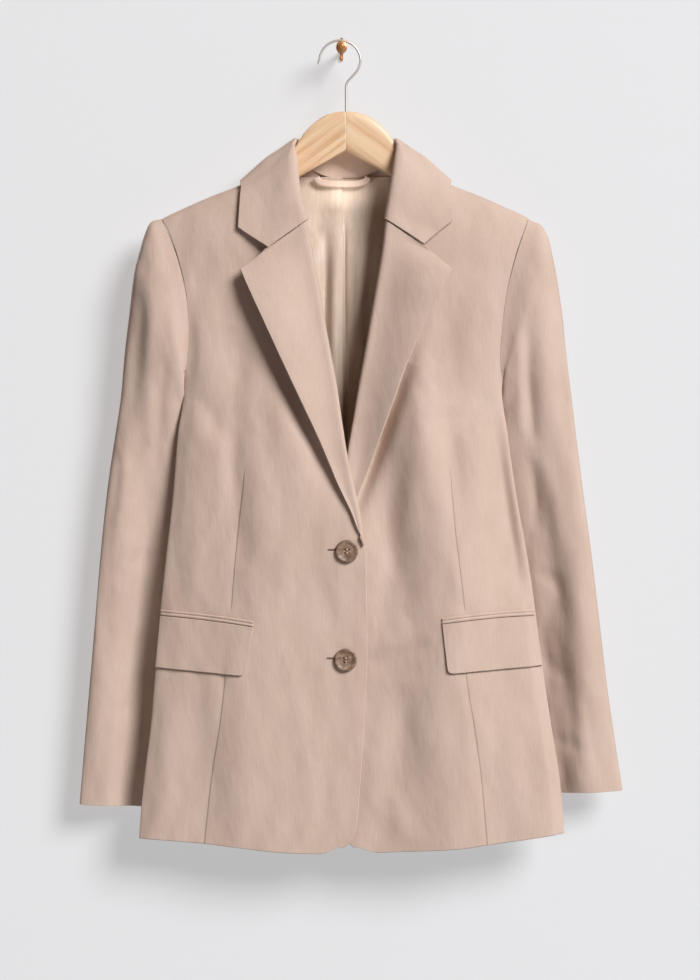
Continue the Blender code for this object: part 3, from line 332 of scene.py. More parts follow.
# Creases and soft forms of each panel: from (x1, z1) to (x2, z2), bowed sideways by bow, with the half
# width and the depth of the fold: above 0 a ridge, below 0 a trough.
CREASE_COLUMNS = ("x1", "z1", "x2", "z2", "bow", "width", "rise")
CREASES = {
    "front_right": [
        (-92, -262, 4, -500, 3, 12, -6), (-84, -420, -96, -960, 0, 44, 7),
        (-70, -330, -62, -600, -4, 26, 3), (-140, -330, -150, -600, 4, 22, 2.2),
        (-112, -372, -104, -560, 6, 10, -3.2), (-124, -395, -121, -520, 3, 12, 1.7),
        (-88, -400, -84, -560, 2, 13, 1.9), (-150, -255, -138, -380, 5, 18, 2.7),
        (-117, -300, -109, -385, -4, 13, -1.9), (-96, -215, -118, -300, -5, 14, -1.7),
        (-140, -215, -150, -300, 3, 13, -1.5), (-160, -372, -120, -428, -4, 9, -1.5),
        (-158, -398, -128, -452, -3, 9, 1.2), (-60, -380, -38, -520, -6, 16, 2),
        (-22, -556, -62, -604, 4, 8, -1), (-20, -668, -66, -700, 4, 9, -1),
        (-70, -610, -78, -760, 5, 17, -1.5), (-40, -700, -44, -850, -4, 16, 1.5),
        (-100, -690, -108, -858, 4, 18, 1.7), (-150, -690, -158, -850, -3, 15, -1.9),
        (-182, -680, -190, -850, 2, 13, 1.9), (-176, -430, -182, -590, 3, 10, -1.7),
        (-150, -540, -158, -604, 2, 12, 1.2), (-12, -760, -20, -860, 3, 10, -1.4),
    ],
    "front_left": [
        (200, -560, 222, -960, 0, 38, 6), (90, -260, 0, -540, -4, 12, -8), (70, -340, 10, -504, 0, 8, -15),
        (96, -330, 70, -540, 6, 16, 5), (114, -400, 124, -960, 0, 46, 16), (96, -340, 104, -590, 4, 24, 5),
        (50, -400, 58, -640, 6, 19, -5.5), (150, -400, 170, -600, -4, 20, -2.5),
        (174, -360, 190, -606, 3, 17, -6), (112, -385, 118, -500, -3, 10, -3.1),
        (92, -372, 96, -500, 3, 16, 3.4), (136, -380, 146, -520, -2, 14, 2.4),
        (60, -430, 66, -570, 8, 16, -3.1), (40, -478, 74, -592, 6, 13, -2),
        (148, -240, 138, -370, -6, 17, 2.4), (112, -262, 84, -392, -6, 15, -1.9),
        (160, -372, 128, -420, 4, 9, -1.5), (70, -610, 30, -652, -4, 14, 2.5),
        (96, -636, 34, -668, 5, 10, -2), (64, -678, 58, -800, -5, 15, -2.4), (92, -672, 94, -790, 4, 14, 2),
        (36, -700, 30, -830, -3, 14, 1.9), (118, -690, 128, -850, 3, 14, -1.7),
        (170, -680, 184, -842, -3, 15, 2.4), (196, -690, 210, -840, 2, 12, -2),
        (48, -790, 84, -856, 4, 13, 2), (172, -430, 184, -585, -3, 12, -1.7),
        (120, -540, 132, -600, 2, 9, 1.4), (144, -700, 152, -780, -3, 10, 1.5),
    ],
    "back": [
        (-118, -230, -138, -420, 7, 18, 3.1), (-86, -260, -96, -520, -6, 17, -2.7),
        (-150, -330, -128, -430, 5, 12, -2.2), (-52, -420, -58, -660, 5, 16, 2.5),
        (-150, -560, -160, -820, -5, 17, 3.1), (-112, -600, -120, -830, 4, 14, -2.7),
        (-70, -680, -74, -834, -3, 14, 2.2), (-28, -240, -30, -380, 4, 15, -1.7),
        (120, -236, 140, -430, -7, 17, 2.9), (84, -250, 98, -500, 5, 16, -2.5),
        (152, -330, 132, -424, -5, 12, -2), (50, -400, 60, -640, -5, 16, 2.4),
        (156, -540, 172, -815, 5, 17, 2.9), (112, -610, 124, -832, -4, 14, -2.5),
        (66, -660, 76, -834, 3, 14, 2.4), (26, -540, 30, -760, 3, 13, -1.5),
        (-110, -178, -150, -230, -4, 10, -1.5), (108, -180, 152, -232, 4, 10, -1.5),
    ],
    "sleeve_right": [
        (-176, -214, -200, -960, 0, 30, 7), (-184, -390, -234, -960, 4, 21, -15),
        (-216, -430, -250, -960, 5, 13, 4.5), (-196, -262, -204, -420, 4, 9, 2.7),
        (-216, -250, -226, -400, -5, 9, -2.7), (-184, -330, -196, -470, 4, 7, -2.2),
        (-222, -400, -240, -560, 5, 9, 2.2), (-238, -430, -246, -520, -3, 6, -1.9),
        (-204, -450, -214, -640, 4, 9, -2.2), (-188, -470, -200, -650, -3, 8, 2.4),
        (-232, -560, -246, -730, -5, 10, -2), (-214, -640, -224, -800, 4, 9, 2.2),
        (-250, -650, -262, -806, 3, 8, 1.7), (-194, -640, -206, -780, 3, 7, -1.9),
        (-212, -210, -222, -270, 2, 8, 1.5), (-206, -420, -236, -452, -4, 7, -1.4),
        (-204, -540, -240, -580, 5, 8, -1.5), (-210, -690, -250, -716, -4, 8, -1.4),
    ],
    "sleeve_left": [
        (246, -380, 282, -960, 0, 24, 6), (232, -380, 266, -960, -4, 22, 8),
        (198, -300, 206, -430, 4, 7, -5.1), (186, -300, 190, -420, -3, 8, 3.2),
        (214, -262, 224, -420, 5, 10, 3.2), (228, -300, 240, -450, -3, 8, -2),
        (200, -440, 206, -520, -3, 6, -3.4), (216, -440, 228, -570, -6, 9, 3.1),
        (226, -480, 244, -640, 7, 9, -3.1), (206, -520, 218, -640, 4, 8, 2),
        (246, -520, 262, -700, -4, 10, 2.7), (228, -620, 246, -780, -6, 9, -2.9),
        (214, -600, 226, -700, 3, 7, -2.4), (240, -690, 252, -796, 4, 9, 2.5),
        (262, -680, 276, -790, 3, 8, -2), (222, -700, 232, -798, 3, 7, 2),
        (206, -560, 236, -590, -5, 8, -1.7), (214, -650, 246, -676, 4, 8, -1.7),
        (220, -742, 262, -756, -4, 8, -1.5), (214, -214, 224, -262, 2, 8, 1.5),
    ],
    "sleeve_back": [
        (-206, -270, -214, -450, 5, 10, 2.7), (-222, -330, -238, -560, -5, 10, -2.5),
        (-202, -480, -222, -700, 4, 10, 2.4), (-236, -600, -252, -800, -4, 9, -2),
        (-214, -700, -226, -800, 3, 9, 1.9), (210, -270, 220, -450, -5, 10, 2.7),
        (226, -330, 244, -560, 5, 10, -2.5), (208, -480, 232, -700, -4, 10, 2.4),
        (246, -600, 266, -790, 4, 9, -2), (226, -690, 240, -796, -3, 9, 1.9),
    ],
    "lining": [
        (-15, -196, -19, -400, 1, 5, -6.5), (-8, -190, -7, -420, 0, 6, 1.7),
        (-30, -200, -28, -360, 2, 7, 2.4), (18, -190, 22, -420, -2, 8, 2), (30, -200, 32, -400, 2, 7, -2.7),
        (44, -190, 40, -330, -2, 8, 2.4), (-46, -260, -44, -520, 2, 10, -2.4),
        (64, -300, 60, -560, -2, 12, 2.4),
    ],
}
# Slow, irregular waves, as all linen has: wave length across and along, turn in degrees, and height.
WAVES = [(46, 150, 4, 0.3), (31, 96, -9, 0.3), (21, 60, 12, 0.12), (73, 210, -5, 0.35), (13, 40, -18, 0.06)]

# Seams, rolls and grids.
SEAM_STEP = 0.75 * MM  # at a dart or a seam, one side lies this much lower
SEAM_STEP_WIDTH = 0.5 * MM
SEAM_STEP_REACH = 9  # in widths: the step dies out over this far to each side
# Drops over which the step comes to show, to hide under the pocket, and to show again.
SEAM_DROPS = ((448 * MM, 462 * MM), (598 * MM, 604 * MM), (664 * MM, 672 * MM))
# Creases die out this near the side seam and the armhole, and the shoulder seam.
SEAM_FADE = (14 * MM, 16 * MM)
SLOPE_STEP = 1.5 * MM  # distance over which a surface's slope is taken
SOFT_MEETING = 0.8 * MM  # a lapel and the cloth under it meet softly, over about this far
BEYOND_EDGE = 14 * MM  # a lapel stands off from the height that the front has this far past its edge
ROLL_REACH = (17 * MM, 30 * MM)  # collar and lapel rise from the fold over about this far
ROLL_ANGLES = (90, -78)  # degrees: the roll starts behind the fold and ends in front of it
ROLL_POINTS = 11  # points round the roll
ROW_POINTS = 38  # and on to the outer edge
ROLL_END = 0.4 * MM
ROW_SAG = 1.0 * MM  # a row hangs in by up to this before its edge
FINE = 2.6 * MM  # length of a facet
FRONT_COLUMNS = (44, 38)  # of the front's grid, before and after the dart
FRONT_EASE = 1.35  # columns are closer together towards the side by this power
BESIDE_DART = (-2.4, -1.4, -0.75, -0.3, 0, 0.3, 0.75, 1.4, 2.4)  # its columns at the dart, in mm
BACK_COLUMNS = 72
BACK_EASE = 0.45
BACK_STEP = 1.2 * FINE
COLLAR_FINE = 6  # steps between two given points of the collar's grid
ROUND = 0.7 * MM  # a turned edge is round over this far
TIGHT = 0.3 * MM  # and a seamed one over this
TINY = 1e-12  # no vector is taken to be shorter than this
# Degrees: an edge with a greater angle stays sharp, on a piece made here and on a node's own mesh.
PIECE_SHARP = 50
NODE_SHARP = 35

# Wall, floor and light. The room's sides are left, right, near, far, floor and ceiling.
WALL_COLOUR = "#A2A4A7"
WALL_GLOW = 0.42
WALL_Y = 0.0004
ROOM = (-3.2, 3.2, -3.6, 2.2, -1.25, 1.7)
WORLD_COLOUR = "#FFBFA8"
WORLD_STRENGTH = 0.08
STUDIO_COLOUR = "#DCDDDE"
AIM = (0, -0.05, -0.42)
LIGHTS = {
    "key": ((5.7, -7.7, 5.0), AIM, 5.0, 1470, "#FFFDFD"),
    "neck": ((0.0, -0.047, -0.162), (0.0, -0.022, -0.12), 0.02, 0.008, "#FFF8F2"),
    "behind": ((-2.4, 4.2, 1.8), AIM, 2.4, 160, "#FFFCF8"),
}
CAMERA_LENS = 110.9
CAMERA_SENSOR = 36
CAMERA_PLACE = (9.07 * MM, -3.26, -475.5 * MM)


def hermite(before, after, start, end, t):
    """A smooth curve from before to after, with those slopes at its ends."""
    rise = after - before
    return before + start * t + (3 * rise - 2 * start - end) * t**2 + (start + end - 2 * rise) * t**3


def column(columns, rows, name, key, at):
    """The values of one column where another column, key, is at, on a smooth curve through the rows."""
    found = sorted((row[columns.index(key)], row[columns.index(name)]) for row in rows)
    keys, values = np.array(found, float).T
    place = np.clip(np.asarray(at, float) / MM, keys[0], keys[-1])
    low = np.clip(np.searchsorted(keys, place, side="right") - 1, 0, len(keys) - 2)
    high, before, after = low + 1, np.maximum(low - 1, 0), np.minimum(low + 2, len(keys) - 1)
    span = keys[high] - keys[low]
    start = (values[high] - values[before]) / (keys[high] - keys[before]) * span
    end = (values[after] - values[low]) / (keys[after] - keys[low]) * span
    return hermite(values[low], values[high], start, end, (place - keys[low]) / span) * MM


def at_rows(rows, place):
    """All columns of a table at places between its rows, on smooth curves."""
    names = ("row", *range(len(rows[0])))
    numbered = [(number, *row) for number, row in enumerate(rows)]
    return [column(names, numbered, name, "row", np.asarray(place) * MM) / MM for name in names[1:]]


def smooth(value, low, high):
    """0 below low, 1 above high, and a soft step between."""
    t = np.clip((value - low) / (high - low), 0, 1)
    return t * t * (3 - 2 * t)


def mix(a, b, t):
    return a + (b - a) * t


def unit(vectors):
    """The vectors along the last axis, made one long."""
    return vectors / np.maximum(np.linalg.norm(vectors, axis=-1, keepdims=True), TINY)


def side_name(side):
    """The wearer's side: right at -X, left at +X."""
    return "right" if side < 0 else "left"


def shoulder_height(x):
    return column(SHOULDER_COLUMNS, SHOULDER, "height", "out", np.abs(x - CENTRE))


def body(name, z):
    return column(BODY_COLUMNS, BODY, name, "height", z)


def flat_depth(x, z, face):
    """y of the body's front (face -1) or back (face 1) at x and z, with no creases."""
    edge = np.where(x > 0, body("left", z), body("right", z))
    across = np.clip(np.abs(x / edge), 0, 1)
    power, shape = FRONT_POWERS if face < 0 else BACK_POWERS
    middle = body("front" if face < 0 else "back", z)
    flat = mix(body("side", z), middle, (1 - across**power) ** shape)
    drop = np.clip((shoulder_height(x) - z) / SHOULDER_ROUND, 0, 1)
    return mix(RIDGE_DEPTH, flat, np.sqrt(1 - (1 - drop) ** 2)) + face * SEAM / 2


def overlap_rise(x, z):
    """How far the right front stands out where it lies on the left front and on the left lapel's end."""
    full = mix(*OVERLAP, smooth(z, *OVERLAP_HEIGHTS))
    return full * smooth(x, *OVERLAP_ACROSS) * smooth(-z, *OVERLAP_DROPS)


def relief(group, x, z):
    """How far the creases and the slow waves of a panel lift it at x and z."""
    total = np.zeros(np.broadcast(x, z).shape)
    for row in CREASES[group]:
        crease = dict(zip(CREASE_COLUMNS, (value * MM for value in row)))
        run = np.array((crease["x2"] - crease["x1"], crease["z2"] - crease["z1"]))
        length = np.hypot(*run)
        run = run / length
        t = ((x - crease["x1"]) * run[0] + (z - crease["z1"]) * run[1]) / length
        inside = np.clip(t, 0, 1)
        off = (x - crease["x1"]) * run[1] - (z - crease["z1"]) * run[0]
        off = off - crease["bow"] * 4 * inside * (1 - inside)
        along = np.sin(math.pi * inside) ** 0.9
        total = total + crease["rise"] * along * np.exp(-((off / crease["width"]) ** 2))
    # Each wave is a sine whose phase and height wander along another one.
    for number, (across, along, turn, height) in enumerate(WAVES):
        angle = math.radians(turn)
        u = (x * math.cos(angle) + z * math.sin(angle)) / (across * MM)
        v = (z * math.cos(angle) - x * math.sin(angle)) / (along * MM)
        wave = np.sin(2 * math.pi * u + 1.7 * number + 1.3 * np.sin(2 * math.pi * v + number))
        total = total + height * MM * wave * (0.6 + 0.4 * np.sin(2 * math.pi * v * 0.7 + 2.1 * number))
    return total


def seam_fade(x, z):
    """0 on the shoulder seam, the armhole and the side seam, where panels meet, and 1 away from them."""
    edge = np.where(x > 0, outer_edge(1, z), outer_edge(-1, z))
    side_gap, shoulder_gap = SEAM_FADE
    return smooth(np.abs(edge) - np.abs(x), 0, side_gap) * smooth(shoulder_height(x) - z, 0, shoulder_gap)


def depth(x, z, face, side=0):
    """y of the front or the back with its creases."""
    y = flat_depth(x, z, face)
    if face < 0 and side < 0:
        y = y - overlap_rise(x, z)
    amount = relief("back" if face > 0 else "front_" + side_name(side or 1), x, z) * seam_fade(x, z)
    if face < 0:
        beside = (x - edge_at(DART, side, z)) / SEAM_STEP_WIDTH
        step = SEAM_STEP * (1 - np.tanh(1.6 * beside)) / 2 * np.exp(-((beside / SEAM_STEP_REACH) ** 2))
        shown, hidden, again = (smooth(-z, *drops) for drops in SEAM_DROPS)
        amount = amount - step * (shown * (1 - hidden + again))
    return y + face * amount


def surface(x, z, face, lift=0.0, side=1):
    """Points on the front or the back, moved out by lift."""
    x, z = np.broadcast_arrays(np.asarray(x, float), np.asarray(z, float))
    here = np.stack([x, depth(x, z, face, side), z], axis=-1)
    across = depth(x + SLOPE_STEP, z, face, side) - depth(x - SLOPE_STEP, z, face, side)
    up = depth(x, z + SLOPE_STEP, face, side) - depth(x, z - SLOPE_STEP, face, side)
    slope_x, slope_z = across / (2 * SLOPE_STEP), up / (2 * SLOPE_STEP)
    normal = unit(np.stack([-face * slope_x, np.full(x.shape, float(face)), -face * slope_z], axis=-1))
    return here + normal * np.asarray(lift, float)[..., None]


def edge_at(rows, side, z):
    """x of one side's line at a height, from a table of edges."""
    return column(EDGE_COLUMNS, rows, side_name(side), "height", z)


def inner_edge(side, z):
    """x of a front's inner edge: behind the fold above the break, the free edge below it."""
    back = mix(*BEHIND_FOLD, smooth(z, *BEHIND_FOLD_HEIGHTS)) * smooth(z, *FOLD_END_HEIGHTS)
    return np.where(z < EDGE_TOP, edge_at(FRONT_EDGE, side, z), edge_at(ROLL, side, z) + side * back)


def outer_edge(side, z):
    """x of a panel's outer edge: the armhole, then the side seam."""
    return np.where(z > UNDERARM, edge_at(ARMHOLE, side, z), body(side_name(side), z))


def linear(colour):
    """An sRGB hex colour as linear RGBA."""
    values = [int(colour[k : k + 2], 16) / 255 for k in (1, 3, 5)]
    return (*[v / 12.92 if v <= 0.04045 else ((v + 0.055) / 1.055) ** 2.4 for v in values], 1.0)


def node(tree, kind, settings=(), links=(), **values):
    """Adds a node: settings are its properties, values and links are by socket name or number."""
    made = tree.nodes.new(kind)
    for key, value in dict(settings).items():
        setattr(made, key, value)
    for key, value in values.items():
        made.inputs[key.replace("_", " ")].default_value = value
    for key, source in dict(links).items():
        tree.links.new(source, made.inputs[key])
    return made


def new_material(name, **values):
    """A material with values on its shader: returns the material, its tree and the shader."""
    made = bpy.data.materials.new(name)
    made.use_nodes = True
    shader = made.node_tree.nodes["Principled BSDF"]
    for key, value in values.items():
        shader.inputs[key.replace("_", " ")].default_value = value
    return made, made.node_tree, shader


def stretched(tree, size, turn=(0, 0, 0)):
    """Object coordinates divided by a size in millimetres on each axis."""
    place = node(tree, "ShaderNodeTexCoord").outputs["Object"]
    if any(turn):
        place = node(tree, "ShaderNodeMapping", links={"Vector": place}, Rotation=turn).outputs[0]
    scale = tuple(1 / (value * MM) for value in size)
    return node(tree, "ShaderNodeMapping", links={"Vector": place}, Scale=scale).outputs[0]


def noise(tree, size, detail=2.0, rough=0.5, turn=(0, 0, 0)):
    """Noise whose lumps have that size in millimetres."""
    links = {"Vector": stretched(tree, size, turn)}
    made = node(tree, "ShaderNodeTexNoise", (), links, Scale=1.0, Detail=detail, Roughness=rough)
    return made.outputs["Fac"]


def coloured(tree, shader, tone, stops):
    """Colours a shader by a tone, on a ramp through (place, colour) stops."""
    made = node(tree, "ShaderNodeValToRGB", links={"Fac": tone})
    elements = made.color_ramp.elements
    while len(elements) < len(stops):
        elements.new(0.5)
    for element, (place, colour) in zip(elements, stops):
        element.position = place
        element.color = linear(colour)
    tree.links.new(made.outputs[0], shader.inputs["Base Color"])


def math_node(tree, operation, a, b):
    """A math node on two values, each a number or a socket."""
    made = node(tree, "ShaderNodeMath", {"operation": operation})
    for socket, value in zip(made.inputs, (a, b)):
        if isinstance(value, (int, float)):
            socket.default_value = value
        else:
            tree.links.new(value, socket)
    return made.outputs[0]


def weighted(tree, *parts):
    """The sum of sockets, each times its weight."""
    scaled = [math_node(tree, "MULTIPLY", socket, weight) for socket, weight in parts]
    total = scaled[0]
    for value in scaled[1:]:
        total = math_node(tree, "ADD", total, value)
    return total


def bump(tree, height, strength, distance, **below):
    """A bump by a height, on top of the normal in below."""
    links = {"Height": height, **below}
    return node(tree, "ShaderNodeBump", links=links, Strength=strength, Distance=distance).outputs[0]


def linen(name, light, middle, dark):
    """Linen blend, plain weave, pressed: matt with a low nap. Threads are 0.4 mm and don't show, so the
    slubs are drawn 1.3 mm wide: 26 mm long down the cloth and 14 mm long across it."""
    made, tree, shader = new_material(
        name, Roughness=0.9, IOR=1.45, Specular_IOR_Level=0.25, Sheen_Weight=0.12, Sheen_Roughness=0.45
    )
    warp = noise(tree, (1.3, 1.3, 26), 2, 0.6)
    weft = noise(tree, (14, 14, 1.3), 2, 0.6)
    cloud = noise(tree, (38, 38, 70), 3, 0.55)
    grain = noise(tree, (1.1, 1.1, 1.5), 1, 0.5)
    threads = weighted(tree, (warp, 0.62), (weft, 0.16), (grain, 0.22))
    tone = weighted(tree, (threads, 0.5), (cloud, 0.5))
    coloured(tree, shader, tone, [(0.3, dark), (0.5, middle), (0.7, light)])
    crumple = noise(tree, (15, 15, 40), 3, 0.55, (0, 0.12, 0))
    woven = bump(tree, threads, 0.12, 0.3 * MM)
    tree.links.new(bump(tree, crumple, 0.4, 2.2 * MM, Normal=woven), shader.inputs["Normal"])
    return made


def satin(name, light, middle, dark):
    """Viscose satin lining: smooth long floats, a soft gloss, nearly no grain."""
    made, tree, shader = new_material(name, Roughness=0.48, IOR=1.5, Sheen_Weight=0.1)
    tone = noise(tree, (2.5, 2.5, 60), 2, 0.5)
    coloured(tree, shader, tone, [(0.3, dark), (0.5, middle), (0.7, light)])
    return made


def horn(name):
    """Horn, cut and polished: brown and cream clouds under a soft gloss."""
    made, tree, shader = new_material(name, Roughness=0.52, IOR=1.55)
    tone = noise(tree, (7, 7, 4), 4, 0.6, (0.3, 0.5, 0.4))
    coloured(tree, shader, tone, [(0.3, "#5E4536"), (0.45, "#7C6350"), (0.56, "#917863"), (0.7, "#AE967E")])
    return made


def beech(name, turn):
    """Beech, sanded and satin varnished: pale, with long fine grain that runs down the arm."""
    made, tree, shader = new_material(name, Roughness=0.42, IOR=1.5)
    rotation = (0, math.radians(turn), 0)
    bands = noise(tree, (160, 9, 7), 3, 0.55, rotation)
    fibres = noise(tree, (34, 0.9, 0.9), 2, 0.6, rotation)
    stops = [(0.33, "#D3A87C"), (0.47, "#E3C09A"), (0.58, "#EBCDA9"), (0.72, "#F0D8B8")]
    coloured(tree, shader, weighted(tree, (bands, 0.72), (fibres, 0.28)), stops)
    tree.links.new(bump(tree, fibres, 0.08, 0.1 * MM), shader.inputs["Normal"])
    return made


def plain(name, colour, roughness, metallic=0.0):
    """One even colour, for thread and for metal."""
    return new_material(name, Base_Color=linear(colour), Roughness=roughness, Metallic=metallic)[0]


def placed(name, data):
    """A new object in the scene."""
    made = bpy.data.objects.new(name, data)
    bpy.context.scene.collection.objects.link(made)
    return made


def add_piece(name, points, faces, finish, replaced=()):
    """A mesh piece on the body, with its faces turned outwards."""
    mesh = bpy.data.meshes.new(name)
    mesh.from_pydata(points, [], faces)
    fine = bmesh.new()
    fine.from_mesh(mesh)
    bmesh.ops.recalc_face_normals(fine, faces=fine.faces)
    fine.to_mesh(mesh)
    fine.free()
    mesh.shade_smooth()
    mesh.set_sharp_from_angle(angle=math.radians(PIECE_SHARP))
    mesh.materials.append(finish)
    made = placed(name, mesh)
    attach(made, "root")
    if replaced:
        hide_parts(*replaced)
    return made


def grid_normals(grid, flip):
    """The normals of a grid of points."""
    return unit(np.cross(np.gradient(grid, axis=0), np.gradient(grid, axis=1)) * flip)


def pull_in(grid, distance):
    """The grid with its border moved in, so that the turned edge is round."""
    moved = grid.copy()
    for edge, beside in ((0, 1), (-1, -2)):
        moved[edge] += unit(grid[beside] - grid[edge]) * distance
    for edge, beside in ((0, 1), (-1, -2)):
        moved[:, edge] += unit(grid[:, beside] - grid[:, edge]) * distance
    return moved


def shell(name, grid, flip, finish, square=None, thickness=CLOTH, round_by=ROUND):
    """A wall of cloth from the grid of its outer face, with round edges. It replaces the node of its name."""
    grid = np.asarray(grid, float)
    normals = grid_normals(grid, flip)
    if square is not None:
        square(normals)
        normals = unit(normals)
    rows, columns = grid.shape[:2]
    total = rows * columns
    outer = pull_in(grid, round_by)
    inner = pull_in(grid - normals * thickness, round_by)
    middle = grid - normals * thickness / 2
    number = np.arange(total).reshape(rows, columns)
    ring = np.concatenate([number[0], number[1:, -1], number[-1, -2::-1], number[-2:0:-1, 0]])
    points = np.concatenate([outer.reshape(-1, 3), inner.reshape(-1, 3), middle.reshape(-1, 3)[ring]])
    quads = np.stack([number[:-1, :-1], number[:-1, 1:], number[1:, 1:], number[1:, :-1]], axis=-1)
    quads = quads.reshape(-1, 4)
    after = np.roll(ring, -1)
    edge = np.arange(len(ring)) + 2 * total
    edge_after = np.roll(edge, -1)
    rim = np.stack([after, ring, edge, edge_after], axis=-1)
    inner_rim = np.stack([edge_after, edge, ring + total, after + total], axis=-1)
    faces = np.concatenate([quads, quads[:, ::-1] + total, rim, inner_rim])
    return add_piece(name, points.tolist(), faces.tolist(), finish, [name])


def fractions(count):
    return np.linspace(0, 1, count)


def fine_places(heights, step=FINE):
    """Row numbers, with fractions, so that rows are no further apart than step along the given heights."""
    places = []
    for number in range(len(heights) - 1):
        parts = max(int(math.ceil(np.max(np.abs(heights[number + 1] - heights[number])) / step)), 1)
        places += [number + k / parts for k in range(parts)]
    return np.array(places + [len(heights) - 1])


def square_side(normals, heights):
    """Squares a panel's outer edge: to the armhole above the underarm, and to the side seam below it."""
    above = heights[:, 0] > UNDERARM
    normals[above, -1, 0] = 0
    normals[~above, -1, 1] = 0


def front_panel(side, finish):
    name = side_name(side)
    table = np.array(FRONT_ROWS, float)
    places = fine_places(table[:, :2] * MM)
    inner, outer, follow = (value[:, None] for value in at_rows(FRONT_ROWS, places))
    inner, outer = inner * MM, outer * MM
    x_in, x_out = inner_edge(side, inner), outer_edge(side, outer)
    x_dart = edge_at(DART, side, mix(inner, outer, DART_SHARE))
    near = np.array(BESIDE_DART) * MM * side
    first = mix(x_in, x_dart + near[0], fractions(FRONT_COLUMNS[0])[None, :-1])
    ease = 1 - (1 - fractions(FRONT_COLUMNS[1])[None, 1:]) ** FRONT_EASE
    x = np.concatenate([first, x_dart + near[None], mix(x_dart + near[-1], x_out, ease)], axis=1)
    t = (x - x_in) / (x_out - x_in)
    top = shoulder_height(x) - mix(table[0, 0] * MM, table[0, 1] * MM, t)
    hem = column(HEM_COLUMNS, HEM, "height", "across", x) - mix(table[-1, 0] * MM, table[-1, 1] * MM, t)
    low = (places > len(FRONT_ROWS) - HEM_ROWS - 1)[:, None]
    z = mix(inner, outer, t) + np.clip(follow, 0, 1) * np.where(low, hem * smooth(t, 0, HEM_EASE), top)

    def square(normals):
        normals[0, :, 1] = 0
        square_side(normals, outer)

    return shell("front_" + name, surface(x, z, -1, 0.0, side), side, finish, square)


def back_panel(side, finish):
    name = side_name(side)
    table = np.array(BACK_ROWS, float)
    places = fine_places(table[:, :2] * MM, BACK_STEP)
    inner, outer, follow = (value[:, None] for value in at_rows(BACK_ROWS, places))
    inner, outer, follow = inner * MM, outer * MM, np.clip(follow, 0, 1)
    t = fractions(BACK_COLUMNS)[None]
    x = mix(CENTRE + side * SEAM / 2, outer_edge(side, outer), mix(t, np.sin(t * math.pi / 2), BACK_EASE))
    out = np.abs(x - CENTRE)
    shoulder = out >= NECK[-1][0] * MM
    top = np.where(shoulder, shoulder_height(x), column(NECK_COLUMNS, NECK, "height", "out", out))
    z = mix(inner, outer, t) + follow * (top - mix(table[0, 0] * MM, table[0, 1] * MM, t))

    def square(normals):
        normals[0, :, 1] = np.where(shoulder[0], 0, normals[0, :, 1])
        square_side(normals, outer)

    return shell("back_" + name, surface(x, z, 1, 0.0, side), -side, finish, square)


def rolled_rows(side, fold_height, roll, across, height, edge_lift, least, reach, straight=0.0):
    """Rows of a lapel or of the collar's front: round the fold from behind, then over the front to the
    edge. straight says how far the cloth spans the front's creases and doesn't follow them."""
    fold_height, roll, across, height, edge_lift, least = (
        np.asarray(value, float)[:, None] for value in (fold_height, roll, across, height, edge_lift, least)
    )
    fold = edge_at(ROLL, side, fold_height)
    foot = surface(fold + side * roll, fold_height, -1, 0.0, side)
    angle = np.radians(np.linspace(*ROLL_ANGLES, ROLL_POINTS))[None]
    arc_x = foot[..., 0] - side * np.cos(angle) * roll
    arc_y = foot[..., 1] + CLOTH - roll + np.sin(angle) * roll
    start = 2 * roll - CLOTH
    t = fractions(ROW_POINTS)[None, 1:]
    x = mix(foot[..., 0] + side * ROLL_END, across, t)
    away = np.abs(x - foot[..., 0])
    rise = (edge_lift - start) * (1 - np.exp(-((away / reach) ** 2)))
    lift = np.maximum(start + rise - ROW_SAG * np.sin(math.pi * t) ** 2 * t, least)
    x = np.concatenate([arc_x, x], axis=1)
    front = np.arange(x.shape[1])[None] > ROLL_POINTS // 2
    z = mix(fold_height, height, (x - fold) / (across - fold) * front)
    ground = depth(x[:, ROLL_POINTS:], z[:, ROLL_POINTS:], -1, side)
    beyond = depth(x[:, -1:] + side * BEYOND_EDGE, z[:, -1:], -1, side)
    line = mix(ground, mix(ground[:, :1], beyond, t), straight)
    front_y = -SOFT_MEETING * np.logaddexp((lift - line) / SOFT_MEETING, (least - ground) / SOFT_MEETING)
    return np.stack([x, np.concatenate([arc_y, front_y], axis=1), z], axis=-1)


def cornered(rows):
    """The columns of a table in fine steps, with a sharp corner at CORNER_ROW."""
    parts = []
    for piece in (rows[: CORNER_ROW + 1], rows[CORNER_ROW:]):
        places = fine_places(np.array(piece, float) * MM)
        parts.append(np.array(at_rows(piece, places)).T)
    return np.concatenate([parts[0], parts[1][1:]])


def lapel(side, finish):
    rows = [(*row, 10 * number) for number, row in enumerate(LAPELS[side])]
    fold, across, height, roll, number = cornered(rows).T
    row = number / 10
    down = row / (len(rows) - 1)
    spread = LAPEL_SPREAD[side > 0] * smooth(down, 0, LAPEL_OPENING)
    free = spread * (1 - smooth(down, *LAPEL_CLOSING[side > 0]))
    gorge = smooth(row, GORGE_ROWS, 0)
    start = roll * MM * 2 - CLOTH
    lift = start + mix(free, COLLAR_SPREAD[1] * MM - start, gorge)
    fold, height = fold + GORGE_CLOSE * gorge, height + 1.15 * GORGE_CLOSE * gorge
    least = mix(CLOTH + LAYER_GAP, CLOTH + END_GAP, smooth(down, *LAPEL_END))
    lengths = (fold * MM, roll * MM, across * MM, height * MM)
    grid = rolled_rows(side, *lengths, lift, least, ROLL_REACH[1], straight=1.0)

    def square(normals):
        normals[:, 0, 0] = 0

    return shell("lapel_" + side_name(side), grid, side, finish, square)


